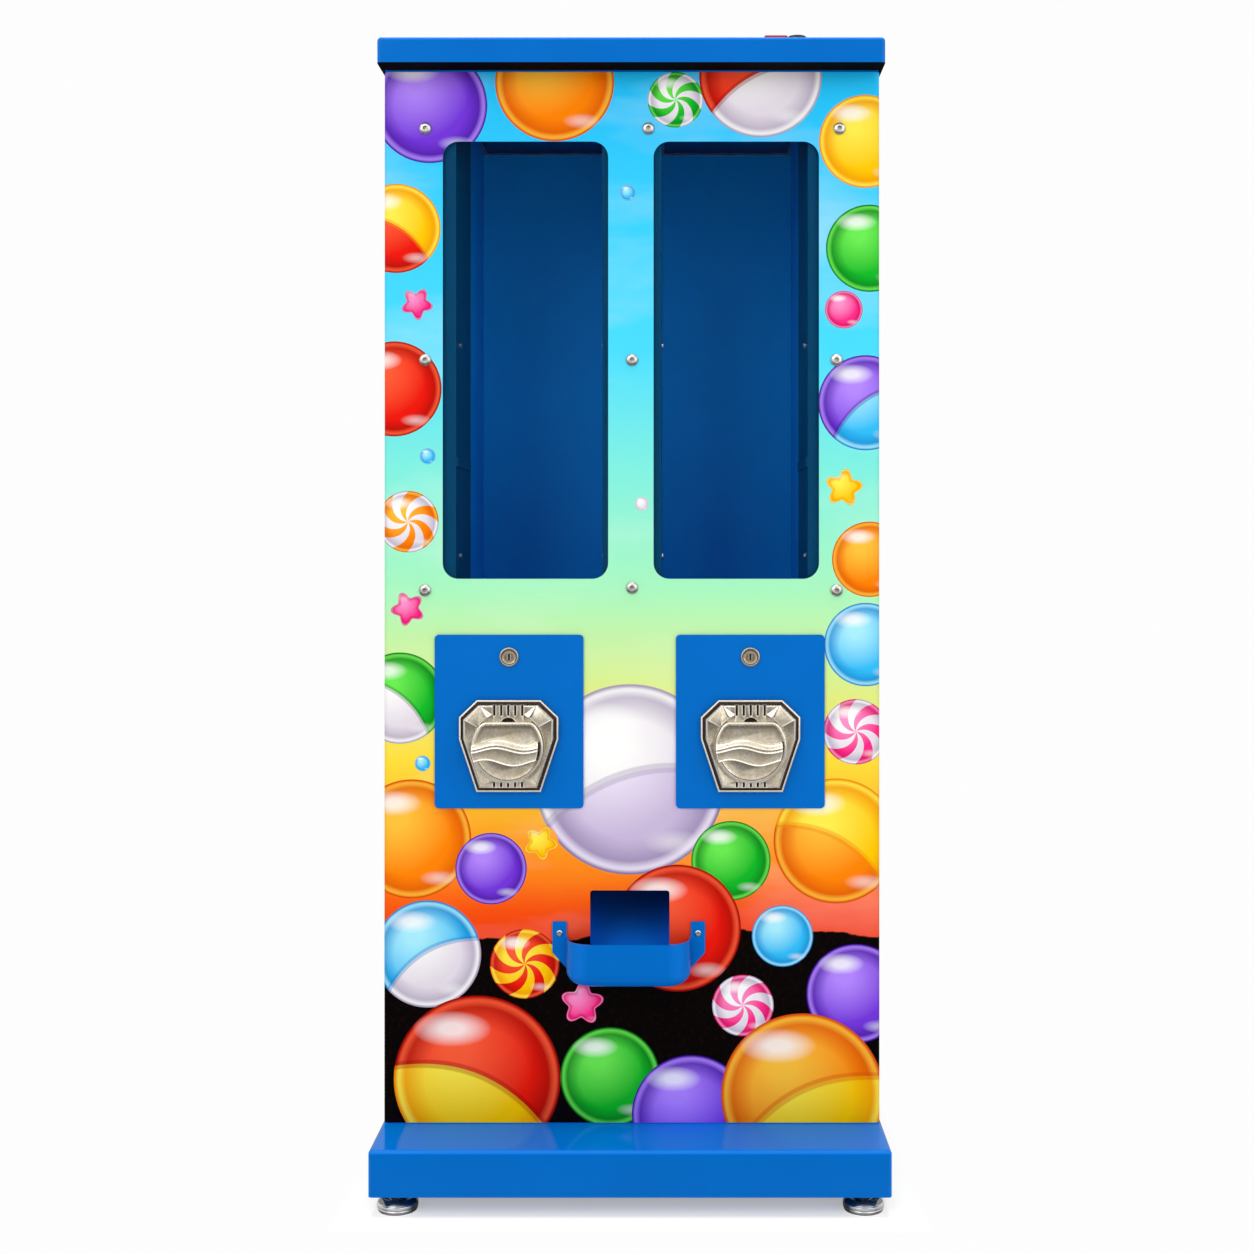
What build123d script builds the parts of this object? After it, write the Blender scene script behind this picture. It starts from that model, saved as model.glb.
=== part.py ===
from build123d import *
import math
import os

# A counter capsule vending machine with two columns, two coin mechanisms and one catch tray.
# X points to the viewer's right, Y to the rear and Z up. The origin is on the floor, under the middle.

# Overall sizes in millimetres
base_width = 505
base_depth = 380
base_height = 45
base_sheet = 2
base_edge_radius = 4
base_return_width = 50
foot_height = 20
cabinet_side_setback = 2.5
cabinet_front_setback = 77
cabinet_rear_setback = 3
cabinet_height = 1080
cabinet_sheet = 1.5
cabinet_bend_radius = 5
cabinet_flange = 12
lid_overhang = 30
lid_height = 26
lid_skirt_overlap = 18
lid_side_gap = 1
lid_edge_radius = 4
lid_rest_gap = 0.3
lid_lower_lip = 3
face_gap = 0.3
running_gap = 0.05

# Printed film on the front
film_thickness = 0.3
film_wrap = 12
film_margin = 1

# Windows, their clear sheet and its screws
window_side_margin = 60.1
window_gap = 45.8
window_top_margin = 89.2
window_height = 441.5
window_radius = 16
window_shift = -1
clear_sheet_thickness = 3
clear_sheet_side_lap = 33
clear_sheet_lap = 26
screw_head_radius = 6
screw_head_height = 3.3
screw_dome_share = 0.6
screw_socket_width = 4
screw_shank_radius = 2.5
screw_hole_gap = 0.3
nut_radius = 4.6
nut_height = 4
screw_side_margin = 17.7
screw_row_above = 12.9
screw_row_below = 11.7
top_screw_shift = 3
top_middle_screw_shift = 17.7
middle_screw_shift = 1.2
middle_screw_rise = 2.5

# Hopper columns behind the windows
hopper_side_margin = 72
hopper_inner_margin = 7.1
hopper_rear_margin = 20
hopper_back_return = 29
hopper_floor_drop = 14.3
hopper_top_margin = 37
hopper_sheet = 1.5
bracket_outer_flange = 24
bracket_inner_flange = 8
bracket_depth = 128
side_start_depth = 115
rivet_depth = 40
rivet_end_margin = 37
rivet_rows = 3
rivet_head_radius = 3.5
rivet_head_height = 1.5
rivet_shank_radius = 1.6
rivet_tail_radius = 2.6
rivet_tail_height = 1.2
tie_drop = 102
tie_height = 10
tie_thickness = 2
tie_reach = 115
deck_sheet = 2
deck_front_gap = 9
fill_opening_margin = 2
funnel_corner_radius = 12
funnel_height = 76

# Capsule wheels
wheel_outward_shift = 17.55
wheel_depth = 150
wheel_shift = -2.1
wheel_body_radius = 70
wheel_ring_radius = 80
wheel_ring_height = 5
wheel_height = 47
wheel_bottom_above_base = 1
pocket_radius = 27.5
pocket_web = 1.5
pocket_count = 4
wheel_cone_radius = 11
wheel_cone_height = 3
wheel_ring_teeth = 48
pinion_teeth = 12
tooth_face_width = 9
tooth_backlash = 3
tooth_addendum = 2.8
tooth_dedendum = 3.6
tooth_flank_angle = 15
axle_radius = 6
axle_nut_radius = 9.5
axle_nut_height = 7
axle_nut_gap = 0.4
housing_wall = 2
housing_gap = 2
housing_height = 42
housing_flange_inner = 72
deflector_thickness = 1.5
deflector_inner_radius = 26
deflector_angle = 84
stand_plate_thickness = 3
stand_plate_gap = 2
outlet_radius = 26.5
outlet_wall = 2.5
outlet_side_height = 45
stand_boss_radius = 15
stand_leg_radius = 8
stand_leg_offset = 44

# Lower decks, chute and tray
lower_deck_level = 380
lower_deck_flange = 15
ramp_width = 82
ramp_sheet = 1.5
ramp_front_level = 226
ramp_angle = 25
ramp_reach = 196
ramp_wall_height = 17
collector_outer_margin = 7
collector_inner_reach = 43
collector_depth = 78
opening_width = 80
opening_bottom = 222
opening_top = 300
opening_radius = 3
opening_shift = -2
tray_width = 125
tray_shift = -3
tray_depth = 35
tray_sheet = 2
tray_bottom = 209
tray_rim = 253
tray_plan_radius = 27
tray_lower_radius = 14
tray_ear_width = 14.5
tray_ear_bottom = 222
tray_ear_top = 269
tray_ear_slant = 16
tray_ear_radius = 1.5
tray_screw_level = 257.5
tray_screw_head_radius = 3.2
tray_screw_head_height = 2
tray_screw_shank_radius = 1.9
tray_screw_length = 8

# Mechanism doors
door_width = 150
door_height = 175
door_bottom = 383
door_sheet = 2
door_corner_radius = 4.5
door_lap = 6
door_frame_gap = 2
door_frame_sheet = 1.5
door_frame_depth = 12
shaft_level = 446.3

# Cast bezels of the coin mechanisms
bezel_half_top = 32
bezel_half_bottom = 32.3
bezel_half_width = 49.8
bezel_height = 92
bezel_upper_bevel = 17
bezel_lower_bevel_start = 39
bezel_rim_thickness = 5
bezel_rim_bevel = 3
bezel_face_inset = 3.4
bezel_face_rise = 6
bezel_face_taper = 3.5
bezel_groove_pitch = 7
bezel_groove_width = 1.7
bezel_groove_depth = 1.6
bezel_groove_count = 5
bezel_upper_groove_length = 9.7
bezel_lower_groove_length = 6
bezel_groove_margin = 5
knob_recess_depth = 2
coin_recess_width = 27
coin_recess_height = 15
coin_recess_depth = 7
coin_slot_thickness = 2.6
coin_horn_width = 11
coin_horn_height = 14
coin_horn_rise = 4
coin_horn_level = 22.5

# Knobs
knob_radius = 35.5
knob_gap = 0.6
knob_flat_level = 21.7
knob_corner_radius = 11
knob_disc_thickness = 6
knob_rim_width = 2.4
knob_rim_height = 1.8
grip_rise = 14
grip_upper_edge = [(-37, 2.4), (-22, 6.4), (-11, 6.2), (7, 0.9), (26, 4.6), (37, 3.2)]
grip_crest_edge = [(-37, -5.2), (-22, -1.0), (-11, -0.8), (7, -6.1), (26, -3.0), (37, -4.4)]
grip_lower_edge = [(-37, -15.4), (-22, -11.7), (-11, -13), (4, -18.3), (25, -12.6), (37, -14.2)]
grip_foot_spread = 1.6

# Drive behind the knobs
shaft_radius = 5
shaft_end_reach = 8
mech_housing_width = 78
mech_housing_height = 84
mech_housing_depth = 54
mech_housing_wall = 3
coin_carrier_radius = 30
coin_carrier_thickness = 5
coin_carrier_depth = 10
coin_radius = 12.5
ratchet_radius = 20
ratchet_depth = 22
ratchet_thickness = 5
ratchet_tooth_depth = 3.5
ratchet_teeth = 12
collar_radius = 8
collar_length = 3
coin_exit_width = 32
coin_exit_depth = 16
coin_exit_inset = 12

# Locks
lock_level = 535.5
lock_face_radius = 9.6
lock_face_thickness = 2.5
lock_body_radius = 8.5
lock_body_length = 20
lock_plug_radius = 6
lock_dish_depth = 1
keyway_width = 2
keyway_height = 7
keyway_depth = 3
cam_width = 14
cam_length = 30
cam_thickness = 2
lid_lock_inset = 87
lid_lock_setback = 15
lid_lock_head_height = 3.4
lid_lock_head_radius = 9.5
lid_lock_plug_rise = 0.8
lid_lock_body_length = 16
lid_cam_length = 27
lid_cam_width = 12
cap_width = 23
cap_depth = 17
cap_height = 3.2
lid_slot_side = 9
lid_slot_reach = 30
lid_slot_clearance = 3.5

# Lid hinge and seal
hinge_pin_radius = 2
hinge_knuckle_radius = 4
hinge_length = 460
hinge_leaf_sheet = 1.5
hinge_leaf_width = 34
hinge_knuckles = 5
seal_width = 8

# Back panel
back_margin = 3
back_screw_columns = 4
back_screw_rows = 3
back_screw_head_radius = 4
back_screw_head_height = 2
back_screw_shank_radius = 2
back_screw_length = 6
back_screw_inset = 6

# Coin boxes
coin_box_gap = 113.1
coin_box_depth = 180
coin_box_height = 95
coin_box_sheet = 1.5
coin_box_front = -70
coin_shelf_height = 85
coin_shelf_margin = 6
coin_shelf_sheet = 2
coin_chute_width = 40
coin_chute_depth = 26
coin_chute_wall = 1.5
coin_chute_drop = 70
coin_chute_depth_from_front = 42

# Levelling feet
foot_inset = 25
foot_radius = 20
foot_rim_height = 7.5
foot_top_radius = 16
foot_top_level = 12.7
foot_sole_bevel = 1.2
stud_radius = 4.25
stud_length = 40
stud_ball_radius = 5
stud_ball_gap = 0.05
stud_ball_level = 7
lock_nut_radius = 7
lock_nut_height = 3.5
lock_nut_flange_radius = 13
lock_nut_flange_height = 2
boss_radius = 10
boss_height = 12

# Levels and planes that follow from the sizes
base_top = foot_height + base_height
base_front = -base_depth / 2
base_rear = base_depth / 2
front = base_front + cabinet_front_setback
rear = base_rear - cabinet_rear_setback
shell_rear = rear - cabinet_sheet
shell_top = base_top + cabinet_height
side = base_width / 2 - cabinet_side_setback
inner_side = side - cabinet_sheet
inner_front = front + cabinet_sheet
film_front = front - film_thickness
lid_bottom = shell_top - lid_skirt_overlap
lid_top = lid_bottom + lid_height
lid_front = front - lid_overhang
lid_side = base_width / 2
hinge_y = base_rear - hinge_knuckle_radius
hinge_z = lid_top - hinge_knuckle_radius
sheet_front = inner_front
sheet_back = sheet_front + clear_sheet_thickness
window_width = side - window_side_margin - window_gap / 2
window_spacing = window_width + window_gap
window_bottom = shell_top - window_top_margin - window_height
window_middle_z = window_bottom + window_height / 2
window_top = window_bottom + window_height
hopper_outer_x = side - hopper_side_margin
hopper_inner_x = window_gap / 2 + hopper_inner_margin
hopper_rear = rear - hopper_rear_margin
hopper_side_rear = hopper_rear - hopper_back_return
hopper_bottom = window_bottom - hopper_floor_drop
hopper_top = shell_top - hopper_top_margin
tie_level = window_middle_z - tie_drop
hopper_middle_x = (hopper_outer_x + hopper_inner_x) / 2
wheel_spacing = 2 * (hopper_middle_x + wheel_outward_shift)
funnel_bottom = hopper_bottom - deck_sheet - funnel_height
wheel_y = front + wheel_depth
wheel_xs = [wheel_shift - wheel_spacing / 2, wheel_shift + wheel_spacing / 2]
mech_xs = wheel_xs
ring_pitch_radius = wheel_ring_radius - tooth_face_width / 2
tooth_pitch = 2 * math.pi * ring_pitch_radius / wheel_ring_teeth
pinion_pitch_radius = tooth_pitch * pinion_teeth / (2 * math.pi)
pitch_level = shaft_level + pinion_pitch_radius
ring_root_level = pitch_level + tooth_dedendum
ring_tip_level = pitch_level - tooth_addendum
stand_top = ring_root_level - wheel_bottom_above_base
wheel_bottom = ring_root_level
wheel_top = wheel_bottom + wheel_height
pocket_centre_radius = (pocket_radius + pocket_web) * math.sqrt(2)
collector_outer_reach = wheel_spacing / 2 - pocket_centre_radius + outlet_radius + collector_outer_margin
coin_box_width = wheel_spacing - coin_box_gap
door_back = film_front
door_front = door_back - door_sheet
door_middle_z = door_bottom + door_height / 2
bezel_front = door_front - bezel_rim_thickness - bezel_face_rise
bezel_top = shaft_level + bezel_height / 2
knob_back = bezel_front + knob_recess_depth - face_gap
knob_front = knob_back - knob_disc_thickness
pinion_front = wheel_y - wheel_ring_radius
pinion_back = pinion_front + tooth_face_width
housing_back = door_back + mech_housing_depth
coin_box_bottom = base_top + coin_shelf_height + coin_shelf_sheet
lid_lock_x = lid_side - lid_lock_inset
lid_lock_y = lid_front + lid_lock_setback


def block(x_low, x_high, y_low, y_high, z_low, z_high):
    """A box between two opposite corners."""
    middle = ((x_low + x_high) / 2, (y_low + y_high) / 2, (z_low + z_high) / 2)
    return Pos(*middle) * Box(x_high - x_low, y_high - y_low, z_high - z_low)


def post(x, y, z_low, z_high, radius):
    """A round bar that stands upright."""
    return Pos(x, y, (z_low + z_high) / 2) * Cylinder(radius, z_high - z_low)


def rod(x, z, y_low, y_high, radius):
    """A round bar that lies from front to rear."""
    return Pos(x, (y_low + y_high) / 2, z) * Rot(90, 0, 0) * Cylinder(radius, y_high - y_low)


def crossbar(y, z, x_low, x_high, radius):
    """A round bar that lies from left to right."""
    return Pos((x_low + x_high) / 2, y, z) * Rot(0, 90, 0) * Cylinder(radius, x_high - x_low)


def upright(sketch, y_back, y_front):
    """A sketch in X and Z, thickened from its back plane towards the front."""
    plane = Plane(origin=(0, y_back, 0), x_dir=(1, 0, 0), z_dir=(0, -1, 0))
    return extrude(plane * sketch, y_back - y_front)


def standing(sketch, z_low, z_high):
    """A sketch in X and Y, thickened upwards."""
    return extrude(Pos(0, 0, z_low) * sketch, z_high - z_low)


def panel(x, z, width, height, radius, y_back, y_front):
    """A rounded plate that faces the front."""
    return upright(Pos(x, z) * RectangleRounded(width, height, radius), y_back, y_front)


def prism_x(points, x_low, x_high):
    """A closed outline of (y, z) points, thickened from left to right."""
    plane = Plane(origin=(x_low, 0, 0), x_dir=(0, 1, 0), z_dir=(1, 0, 0))
    return extrude(plane * make_face(Polyline(points, close=True)), x_high - x_low)


def prism_y(points, y_low, y_high):
    """A closed outline of (x, z) points, thickened from front to rear."""
    return upright(make_face(Polyline(points, close=True)), y_high, y_low)


def in_front_of(edges, y):
    """The edges whose middles lie in front of a depth."""
    return edges.filter_by(lambda edge: edge.center().Y < y)


def save(shape, name):
    """Writes one piece, whose solids stay apart."""
    solids = shape.solids()
    piece = solids[0] if len(solids) == 1 else Compound(children=list(solids))
    piece.label = name
    export_step(piece, os.path.join("parts", name + ".step"))


def button_screw(x, z, y_face, head_radius, head_height, shank_radius, y_end, socket):
    """A round-headed screw that enters the front at y_face and ends at y_end."""
    head = rod(x, z, y_face - head_height, y_face, head_radius)
    rim = head.edges().group_by(Axis.Y)[0]
    head = fillet(rim, head_height * screw_dome_share)
    head -= upright(
        Pos(x, z) * RegularPolygon(socket / math.sqrt(3), 6),
        y_face - head_height + socket / 2,
        y_face - head_height,
    )
    return head + rod(x, z, y_face, y_end, shank_radius)


os.makedirs("parts", exist_ok=True)

# Base tray: a box of sheet with a wide return below, where the feet are held
foot_spots = {
    "front_left": (-base_width / 2 + foot_inset, base_front + foot_inset),
    "front_right": (base_width / 2 - foot_inset, base_front + foot_inset),
    "rear_left": (-base_width / 2 + foot_inset, base_rear - foot_inset),
    "rear_right": (base_width / 2 - foot_inset, base_rear - foot_inset),
}
base = block(-base_width / 2, base_width / 2, base_front, base_rear, foot_height, base_top)
base = fillet(base.edges().filter_by(Axis.Z), base_edge_radius)
base = fillet(base.edges().group_by(Axis.Z)[-1], base_edge_radius)
base_hollow = block(
    -base_width / 2 + base_sheet,
    base_width / 2 - base_sheet,
    base_front + base_sheet,
    base_rear - base_sheet,
    foot_height + base_sheet,
    base_top - base_sheet,
)
base_hollow = fillet(base_hollow.edges().filter_by(Axis.Z), base_edge_radius - base_sheet)
base_hollow = fillet(base_hollow.edges().group_by(Axis.Z)[-1], base_edge_radius - base_sheet)
base -= base_hollow
base -= block(
    -base_width / 2 + base_return_width,
    base_width / 2 - base_return_width,
    base_front + base_return_width,
    base_rear - base_return_width,
    foot_height,
    foot_height + base_sheet,
)
for x, y in foot_spots.values():
    base += post(x, y, foot_height + base_sheet, foot_height + base_sheet + boss_height, boss_radius)
    base -= post(x, y, foot_height, foot_height + base_sheet + boss_height, stud_radius + running_gap)
save(base, "base_tray")

# Levelling feet: a coned pad on a ball, a threaded stud and a flanged lock nut
lock_nuts = None
for name, (x, y) in foot_spots.items():
    stud_top = foot_top_level + stud_length
    outline = Polyline(
        (0, 0),
        (foot_radius - foot_sole_bevel, 0),
        (foot_radius, foot_sole_bevel),
        (foot_radius, foot_rim_height),
        (foot_top_radius, foot_top_level),
        (0, foot_top_level),
        close=True,
    )
    pad = revolve(Plane.XZ * make_face(outline), Axis.Z)
    top_rim = pad.edges().filter_by(GeomType.CIRCLE).group_by(SortBy.RADIUS)[-1].sort_by(Axis.Z)[-1]
    pad = fillet(top_rim, foot_sole_bevel)
    socket = Pos(0, 0, stud_ball_level) * Sphere(stud_ball_radius + stud_ball_gap)
    socket += post(0, 0, stud_ball_level, foot_top_level, stud_radius + face_gap)
    pad -= socket
    save(Pos(x, y, 0) * pad, "foot_pad_" + name)
    stud = Pos(0, 0, stud_ball_level) * Sphere(stud_ball_radius)
    stud += post(0, 0, stud_ball_level, stud_top, stud_radius)
    save(Pos(x, y, 0) * stud, "foot_stud_" + name)
    nut = standing(
        RegularPolygon(lock_nut_radius, 6),
        foot_height - lock_nut_flange_height - lock_nut_height,
        foot_height - lock_nut_flange_height,
    )
    nut += post(0, 0, foot_height - lock_nut_flange_height, foot_height, lock_nut_flange_radius)
    nut -= post(
        0,
        0,
        foot_height - lock_nut_flange_height - lock_nut_height,
        foot_height,
        stud_radius + running_gap,
    )
    nut = Pos(x, y, 0) * nut
    lock_nuts = nut if lock_nuts is None else lock_nuts + nut
save(lock_nuts, "foot_lock_nuts")

# Cabinet shell: front and sides folded from one sheet, with flanges all round
shell = block(-side, side, front, shell_rear, base_top, shell_top)
front_edges = shell.edges().filter_by(Axis.Z).group_by(Axis.Y)[0]
shell = fillet(front_edges, cabinet_bend_radius)
shell_hollow = block(
    -inner_side,
    inner_side,
    inner_front,
    shell_rear - cabinet_sheet,
    base_top + cabinet_sheet,
    shell_top - cabinet_sheet,
)
front_edges = shell_hollow.edges().filter_by(Axis.Z).group_by(Axis.Y)[0]
shell_hollow = fillet(front_edges, cabinet_bend_radius - cabinet_sheet)
shell -= shell_hollow
shell -= block(
    -inner_side + cabinet_flange,
    inner_side - cabinet_flange,
    inner_front + cabinet_flange,
    shell_rear - cabinet_sheet - cabinet_flange,
    base_top,
    shell_top,
)
shell -= block(
    -inner_side + cabinet_flange,
    inner_side - cabinet_flange,
    shell_rear - cabinet_sheet,
    shell_rear,
    base_top + cabinet_sheet + cabinet_flange,
    shell_top - cabinet_sheet - cabinet_flange,
)

# Openings in the front: two windows, two mechanism doors and the delivery opening
window_edge = window_spacing / 2 + window_width / 2 + screw_side_margin
screw_left = window_shift - window_edge
screw_right = window_shift + window_edge
screw_upper = window_top + screw_row_above
screw_lower = window_bottom - screw_row_below
screw_middle_x = window_shift + middle_screw_shift
window_screw_spots = [
    (screw_left, screw_upper),
    (window_shift + top_middle_screw_shift, screw_upper),
    (screw_right + top_screw_shift, screw_upper),
    (screw_left, window_middle_z),
    (screw_middle_x, window_middle_z),
    (screw_right, window_middle_z),
    (screw_left, screw_lower),
    (screw_middle_x, screw_lower + middle_screw_rise),
    (screw_right, screw_lower),
]
front_cuts = []
for sign in (-1, 1):
    x = window_shift + sign * window_spacing / 2
    front_cuts.append((x, window_middle_z, window_width, window_height, window_radius))
for x in mech_xs:
    width = door_width - 2 * door_lap
    height = door_height - 2 * door_lap
    front_cuts.append((x, door_middle_z, width, height, door_corner_radius))
opening_middle_z = (opening_bottom + opening_top) / 2
opening_height = opening_top - opening_bottom
front_cuts.append((opening_shift, opening_middle_z, opening_width, opening_height, opening_radius))
film = block(
    -side - film_thickness,
    side + film_thickness,
    film_front,
    front + film_wrap,
    base_top + film_margin,
    lid_bottom - film_margin,
)
front_edges = film.edges().filter_by(Axis.Z).group_by(Axis.Y)[0]
film = fillet(front_edges, cabinet_bend_radius + film_thickness)
film_core = block(-side, side, front, front + 2 * film_wrap, base_top, shell_top)
front_edges = film_core.edges().filter_by(Axis.Z).group_by(Axis.Y)[0]
film -= fillet(front_edges, cabinet_bend_radius)
for x, z, width, height, radius in front_cuts:
    cut = panel(x, z, width, height, radius, inner_front, film_front)
    shell -= cut
    film -= cut
tray_screw_xs = []
for sign in (-1, 1):
    tray_screw_xs.append(tray_shift + sign * (tray_width + tray_ear_width) / 2)
for x, z in window_screw_spots:
    cut = rod(x, z, film_front, inner_front, screw_shank_radius + screw_hole_gap)
    shell -= cut
    film -= cut
for x in tray_screw_xs:
    cut = rod(x, tray_screw_level, film_front, inner_front, tray_screw_shank_radius + running_gap)
    shell -= cut
    film -= cut
shell -= block(
    lid_lock_x - lid_slot_side,
    lid_lock_x + lid_slot_reach,
    front,
    inner_front,
    lid_top - lid_lock_body_length - cabinet_sheet - cam_thickness - lid_slot_clearance,
    lid_top - lid_lock_body_length - cabinet_sheet + lid_slot_clearance,
)
back_screw_spots = []
for column in range(back_screw_columns):
    share = column / (back_screw_columns - 1)
    x = -inner_side + back_screw_inset + share * 2 * (inner_side - back_screw_inset)
    back_screw_spots.append((x, base_top + cabinet_sheet + back_screw_inset))
for row in range(1, back_screw_rows + 1):
    z = base_top + cabinet_height * row / (back_screw_rows + 1)
    for x in (-inner_side + back_screw_inset, inner_side - back_screw_inset):
        back_screw_spots.append((x, z))
for x, z in back_screw_spots:
    shell -= rod(x, z, shell_rear - cabinet_sheet, shell_rear, back_screw_shank_radius + running_gap)
save(shell, "cabinet_shell")
save(film, "front_film")

# Back panel and its screws
back = block(
    -side + back_margin,
    side - back_margin,
    shell_rear,
    rear,
    base_top + film_margin,
    hinge_z - hinge_knuckle_radius - film_margin,
)
back_screws = None
for x, z in back_screw_spots:
    back -= rod(x, z, shell_rear, rear, back_screw_shank_radius + screw_hole_gap)
    screw = rod(x, z, rear, rear + back_screw_head_height, back_screw_head_radius)
    screw = fillet(screw.edges().group_by(Axis.Y)[-1], back_screw_head_height / 2)
    screw += rod(x, z, rear - back_screw_length, rear, back_screw_shank_radius)
    back_screws = screw if back_screws is None else back_screws + screw
save(back, "back_panel")
save(back_screws, "back_screws")

# Clear sheet behind the windows, with its screws and nuts
clear_sheet_half = window_spacing / 2 + window_width / 2 + clear_sheet_side_lap
clear_sheet = block(
    window_shift - clear_sheet_half,
    window_shift + clear_sheet_half,
    sheet_front,
    sheet_back,
    window_bottom - clear_sheet_lap,
    window_top + clear_sheet_lap,
)
window_screws = None
window_nuts = None
for x, z in window_screw_spots:
    clear_sheet -= rod(x, z, sheet_front, sheet_back, screw_shank_radius + screw_hole_gap)
    screw = button_screw(
        x,
        z,
        film_front,
        screw_head_radius,
        screw_head_height,
        screw_shank_radius,
        sheet_back + nut_height,
        screw_socket_width,
    )
    window_screws = screw if window_screws is None else window_screws + screw
    nut = upright(Pos(x, z) * RegularPolygon(nut_radius, 6), sheet_back + nut_height, sheet_back)
    nut -= rod(x, z, sheet_back, sheet_back + nut_height, screw_shank_radius + running_gap)
    window_nuts = nut if window_nuts is None else window_nuts + nut
save(clear_sheet, "window_sheet")
save(window_screws, "window_screws")
save(window_nuts, "window_nuts")

# Hopper columns: front brackets, side walls, and a back wall with flanges outside the sides
brackets = None
rivets = None
walls = None
back_walls = None
for sign in (-1, 1):
    outer = sign * hopper_outer_x
    inner = sign * hopper_inner_x
    for face, outward, flange in ((outer, sign, bracket_outer_flange), (inner, -sign, bracket_inner_flange)):
        far = face + outward * hopper_sheet
        wall_low = min(face, far)
        wall_high = max(face, far)
        bracket = block(wall_low, wall_high, sheet_back, front + bracket_depth, hopper_bottom, hopper_top)
        flange_end = face + outward * flange
        flange_low = min(face, flange_end)
        flange_high = max(face, flange_end)
        flange_plate = block(
            flange_low,
            flange_high,
            sheet_back,
            sheet_back + hopper_sheet,
            hopper_bottom,
            hopper_top,
        )
        bracket += flange_plate
        for x, z in window_screw_spots:
            bracket -= rod(x, z, sheet_back, sheet_back + nut_height, nut_radius + face_gap)
        side_low = min(far, far + outward * hopper_sheet)
        side_high = max(far, far + outward * hopper_sheet)
        side_wall = block(
            side_low,
            side_high,
            front + side_start_depth,
            hopper_side_rear,
            hopper_bottom,
            hopper_top,
        )
        for row in range(rivet_rows):
            share = row / (rivet_rows - 1)
            y = front + rivet_depth
            level = hopper_bottom + rivet_end_margin
            level += share * (hopper_top - hopper_bottom - 2 * rivet_end_margin)
            bracket -= crossbar(y, level, wall_low, wall_high, rivet_shank_radius + running_gap)
            head_end = face - outward * rivet_head_height
            head = crossbar(y, level, min(face, head_end), max(face, head_end), rivet_head_radius)
            tail_end = far + outward * rivet_tail_height
            tail = crossbar(y, level, min(far, tail_end), max(far, tail_end), rivet_tail_radius)
            rivet = head + tail + crossbar(y, level, wall_low, wall_high, rivet_shank_radius)
            rivets = rivet if rivets is None else rivets + rivet
        brackets = bracket if brackets is None else brackets + bracket
        walls = side_wall if walls is None else walls + side_wall
    low = min(outer, inner) - 3 * hopper_sheet
    high = max(outer, inner) + 3 * hopper_sheet
    back_wall = block(
        low,
        high,
        hopper_side_rear - 2 * bracket_inner_flange,
        hopper_rear + hopper_sheet,
        hopper_bottom,
        hopper_top,
    )
    back_wall -= block(
        low + hopper_sheet,
        high - hopper_sheet,
        hopper_side_rear - 2 * bracket_inner_flange,
        hopper_rear,
        hopper_bottom,
        hopper_top,
    )
    back_walls = back_wall if back_walls is None else back_walls + back_wall
    tie_low = min(outer, outer - sign * tie_thickness)
    tie_high = max(outer, outer - sign * tie_thickness)
    tie = block(
        tie_low,
        tie_high,
        sheet_back + hopper_sheet,
        front + tie_reach,
        tie_level - tie_height / 2,
        tie_level + tie_height / 2,
    )
    brackets += tie
save(brackets, "hopper_brackets")
save(rivets, "hopper_rivets")
save(walls, "hopper_sides")
save(back_walls, "hopper_backs")

# Fill deck above the columns, open over each column
deck_front = inner_front + deck_front_gap
deck_rear = shell_rear - cabinet_sheet


def hanging_deck(level, flange):
    """A plate across the cabinet with a flange down each side."""
    plate = block(-inner_side, inner_side, deck_front, deck_rear, level, level + deck_sheet)
    for low in (-inner_side, inner_side - deck_sheet):
        plate += block(low, low + deck_sheet, deck_front, deck_rear, level - flange, level)
    return plate


fill_deck = hanging_deck(hopper_top, lower_deck_flange)
floor_deck = hanging_deck(hopper_bottom - deck_sheet, lower_deck_flange)
for x in (-hopper_middle_x, hopper_middle_x):
    half_width = (hopper_outer_x - hopper_inner_x) / 2 - fill_opening_margin
    fill_deck -= block(
        x - half_width,
        x + half_width,
        deck_front + fill_opening_margin,
        hopper_rear - fill_opening_margin,
        hopper_top,
        hopper_top + deck_sheet,
    )
save(fill_deck, "fill_deck")

# Hopper floor: a deck with a funnel from each column down to its wheel
for x, wheel_x in zip((-hopper_middle_x, hopper_middle_x), wheel_xs):
    width = hopper_outer_x - hopper_inner_x - 2 * fill_opening_margin
    y_low = deck_front + 2 * fill_opening_margin
    y_high = hopper_rear - fill_opening_margin
    depth = y_high - y_low
    y = (y_low + y_high) / 2
    top = hopper_bottom - deck_sheet
    outer_top = Pos(x, y, top) * RectangleRounded(
        width + 2 * hopper_sheet, depth + 2 * hopper_sheet, funnel_corner_radius + hopper_sheet
    )
    outer_bottom = Pos(wheel_x, wheel_y, funnel_bottom) * Circle(wheel_body_radius + hopper_sheet)
    inner_top = Pos(x, y, top) * RectangleRounded(width, depth, funnel_corner_radius)
    inner_bottom = Pos(wheel_x, wheel_y, funnel_bottom) * Circle(wheel_body_radius)
    funnel = loft([outer_bottom, outer_top])
    floor_deck -= standing(
        Pos(x, y) * RectangleRounded(width, depth, funnel_corner_radius),
        top,
        top + deck_sheet,
    )
    floor_deck += funnel - loft([inner_bottom, inner_top])
save(floor_deck, "hopper_floor")

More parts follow.
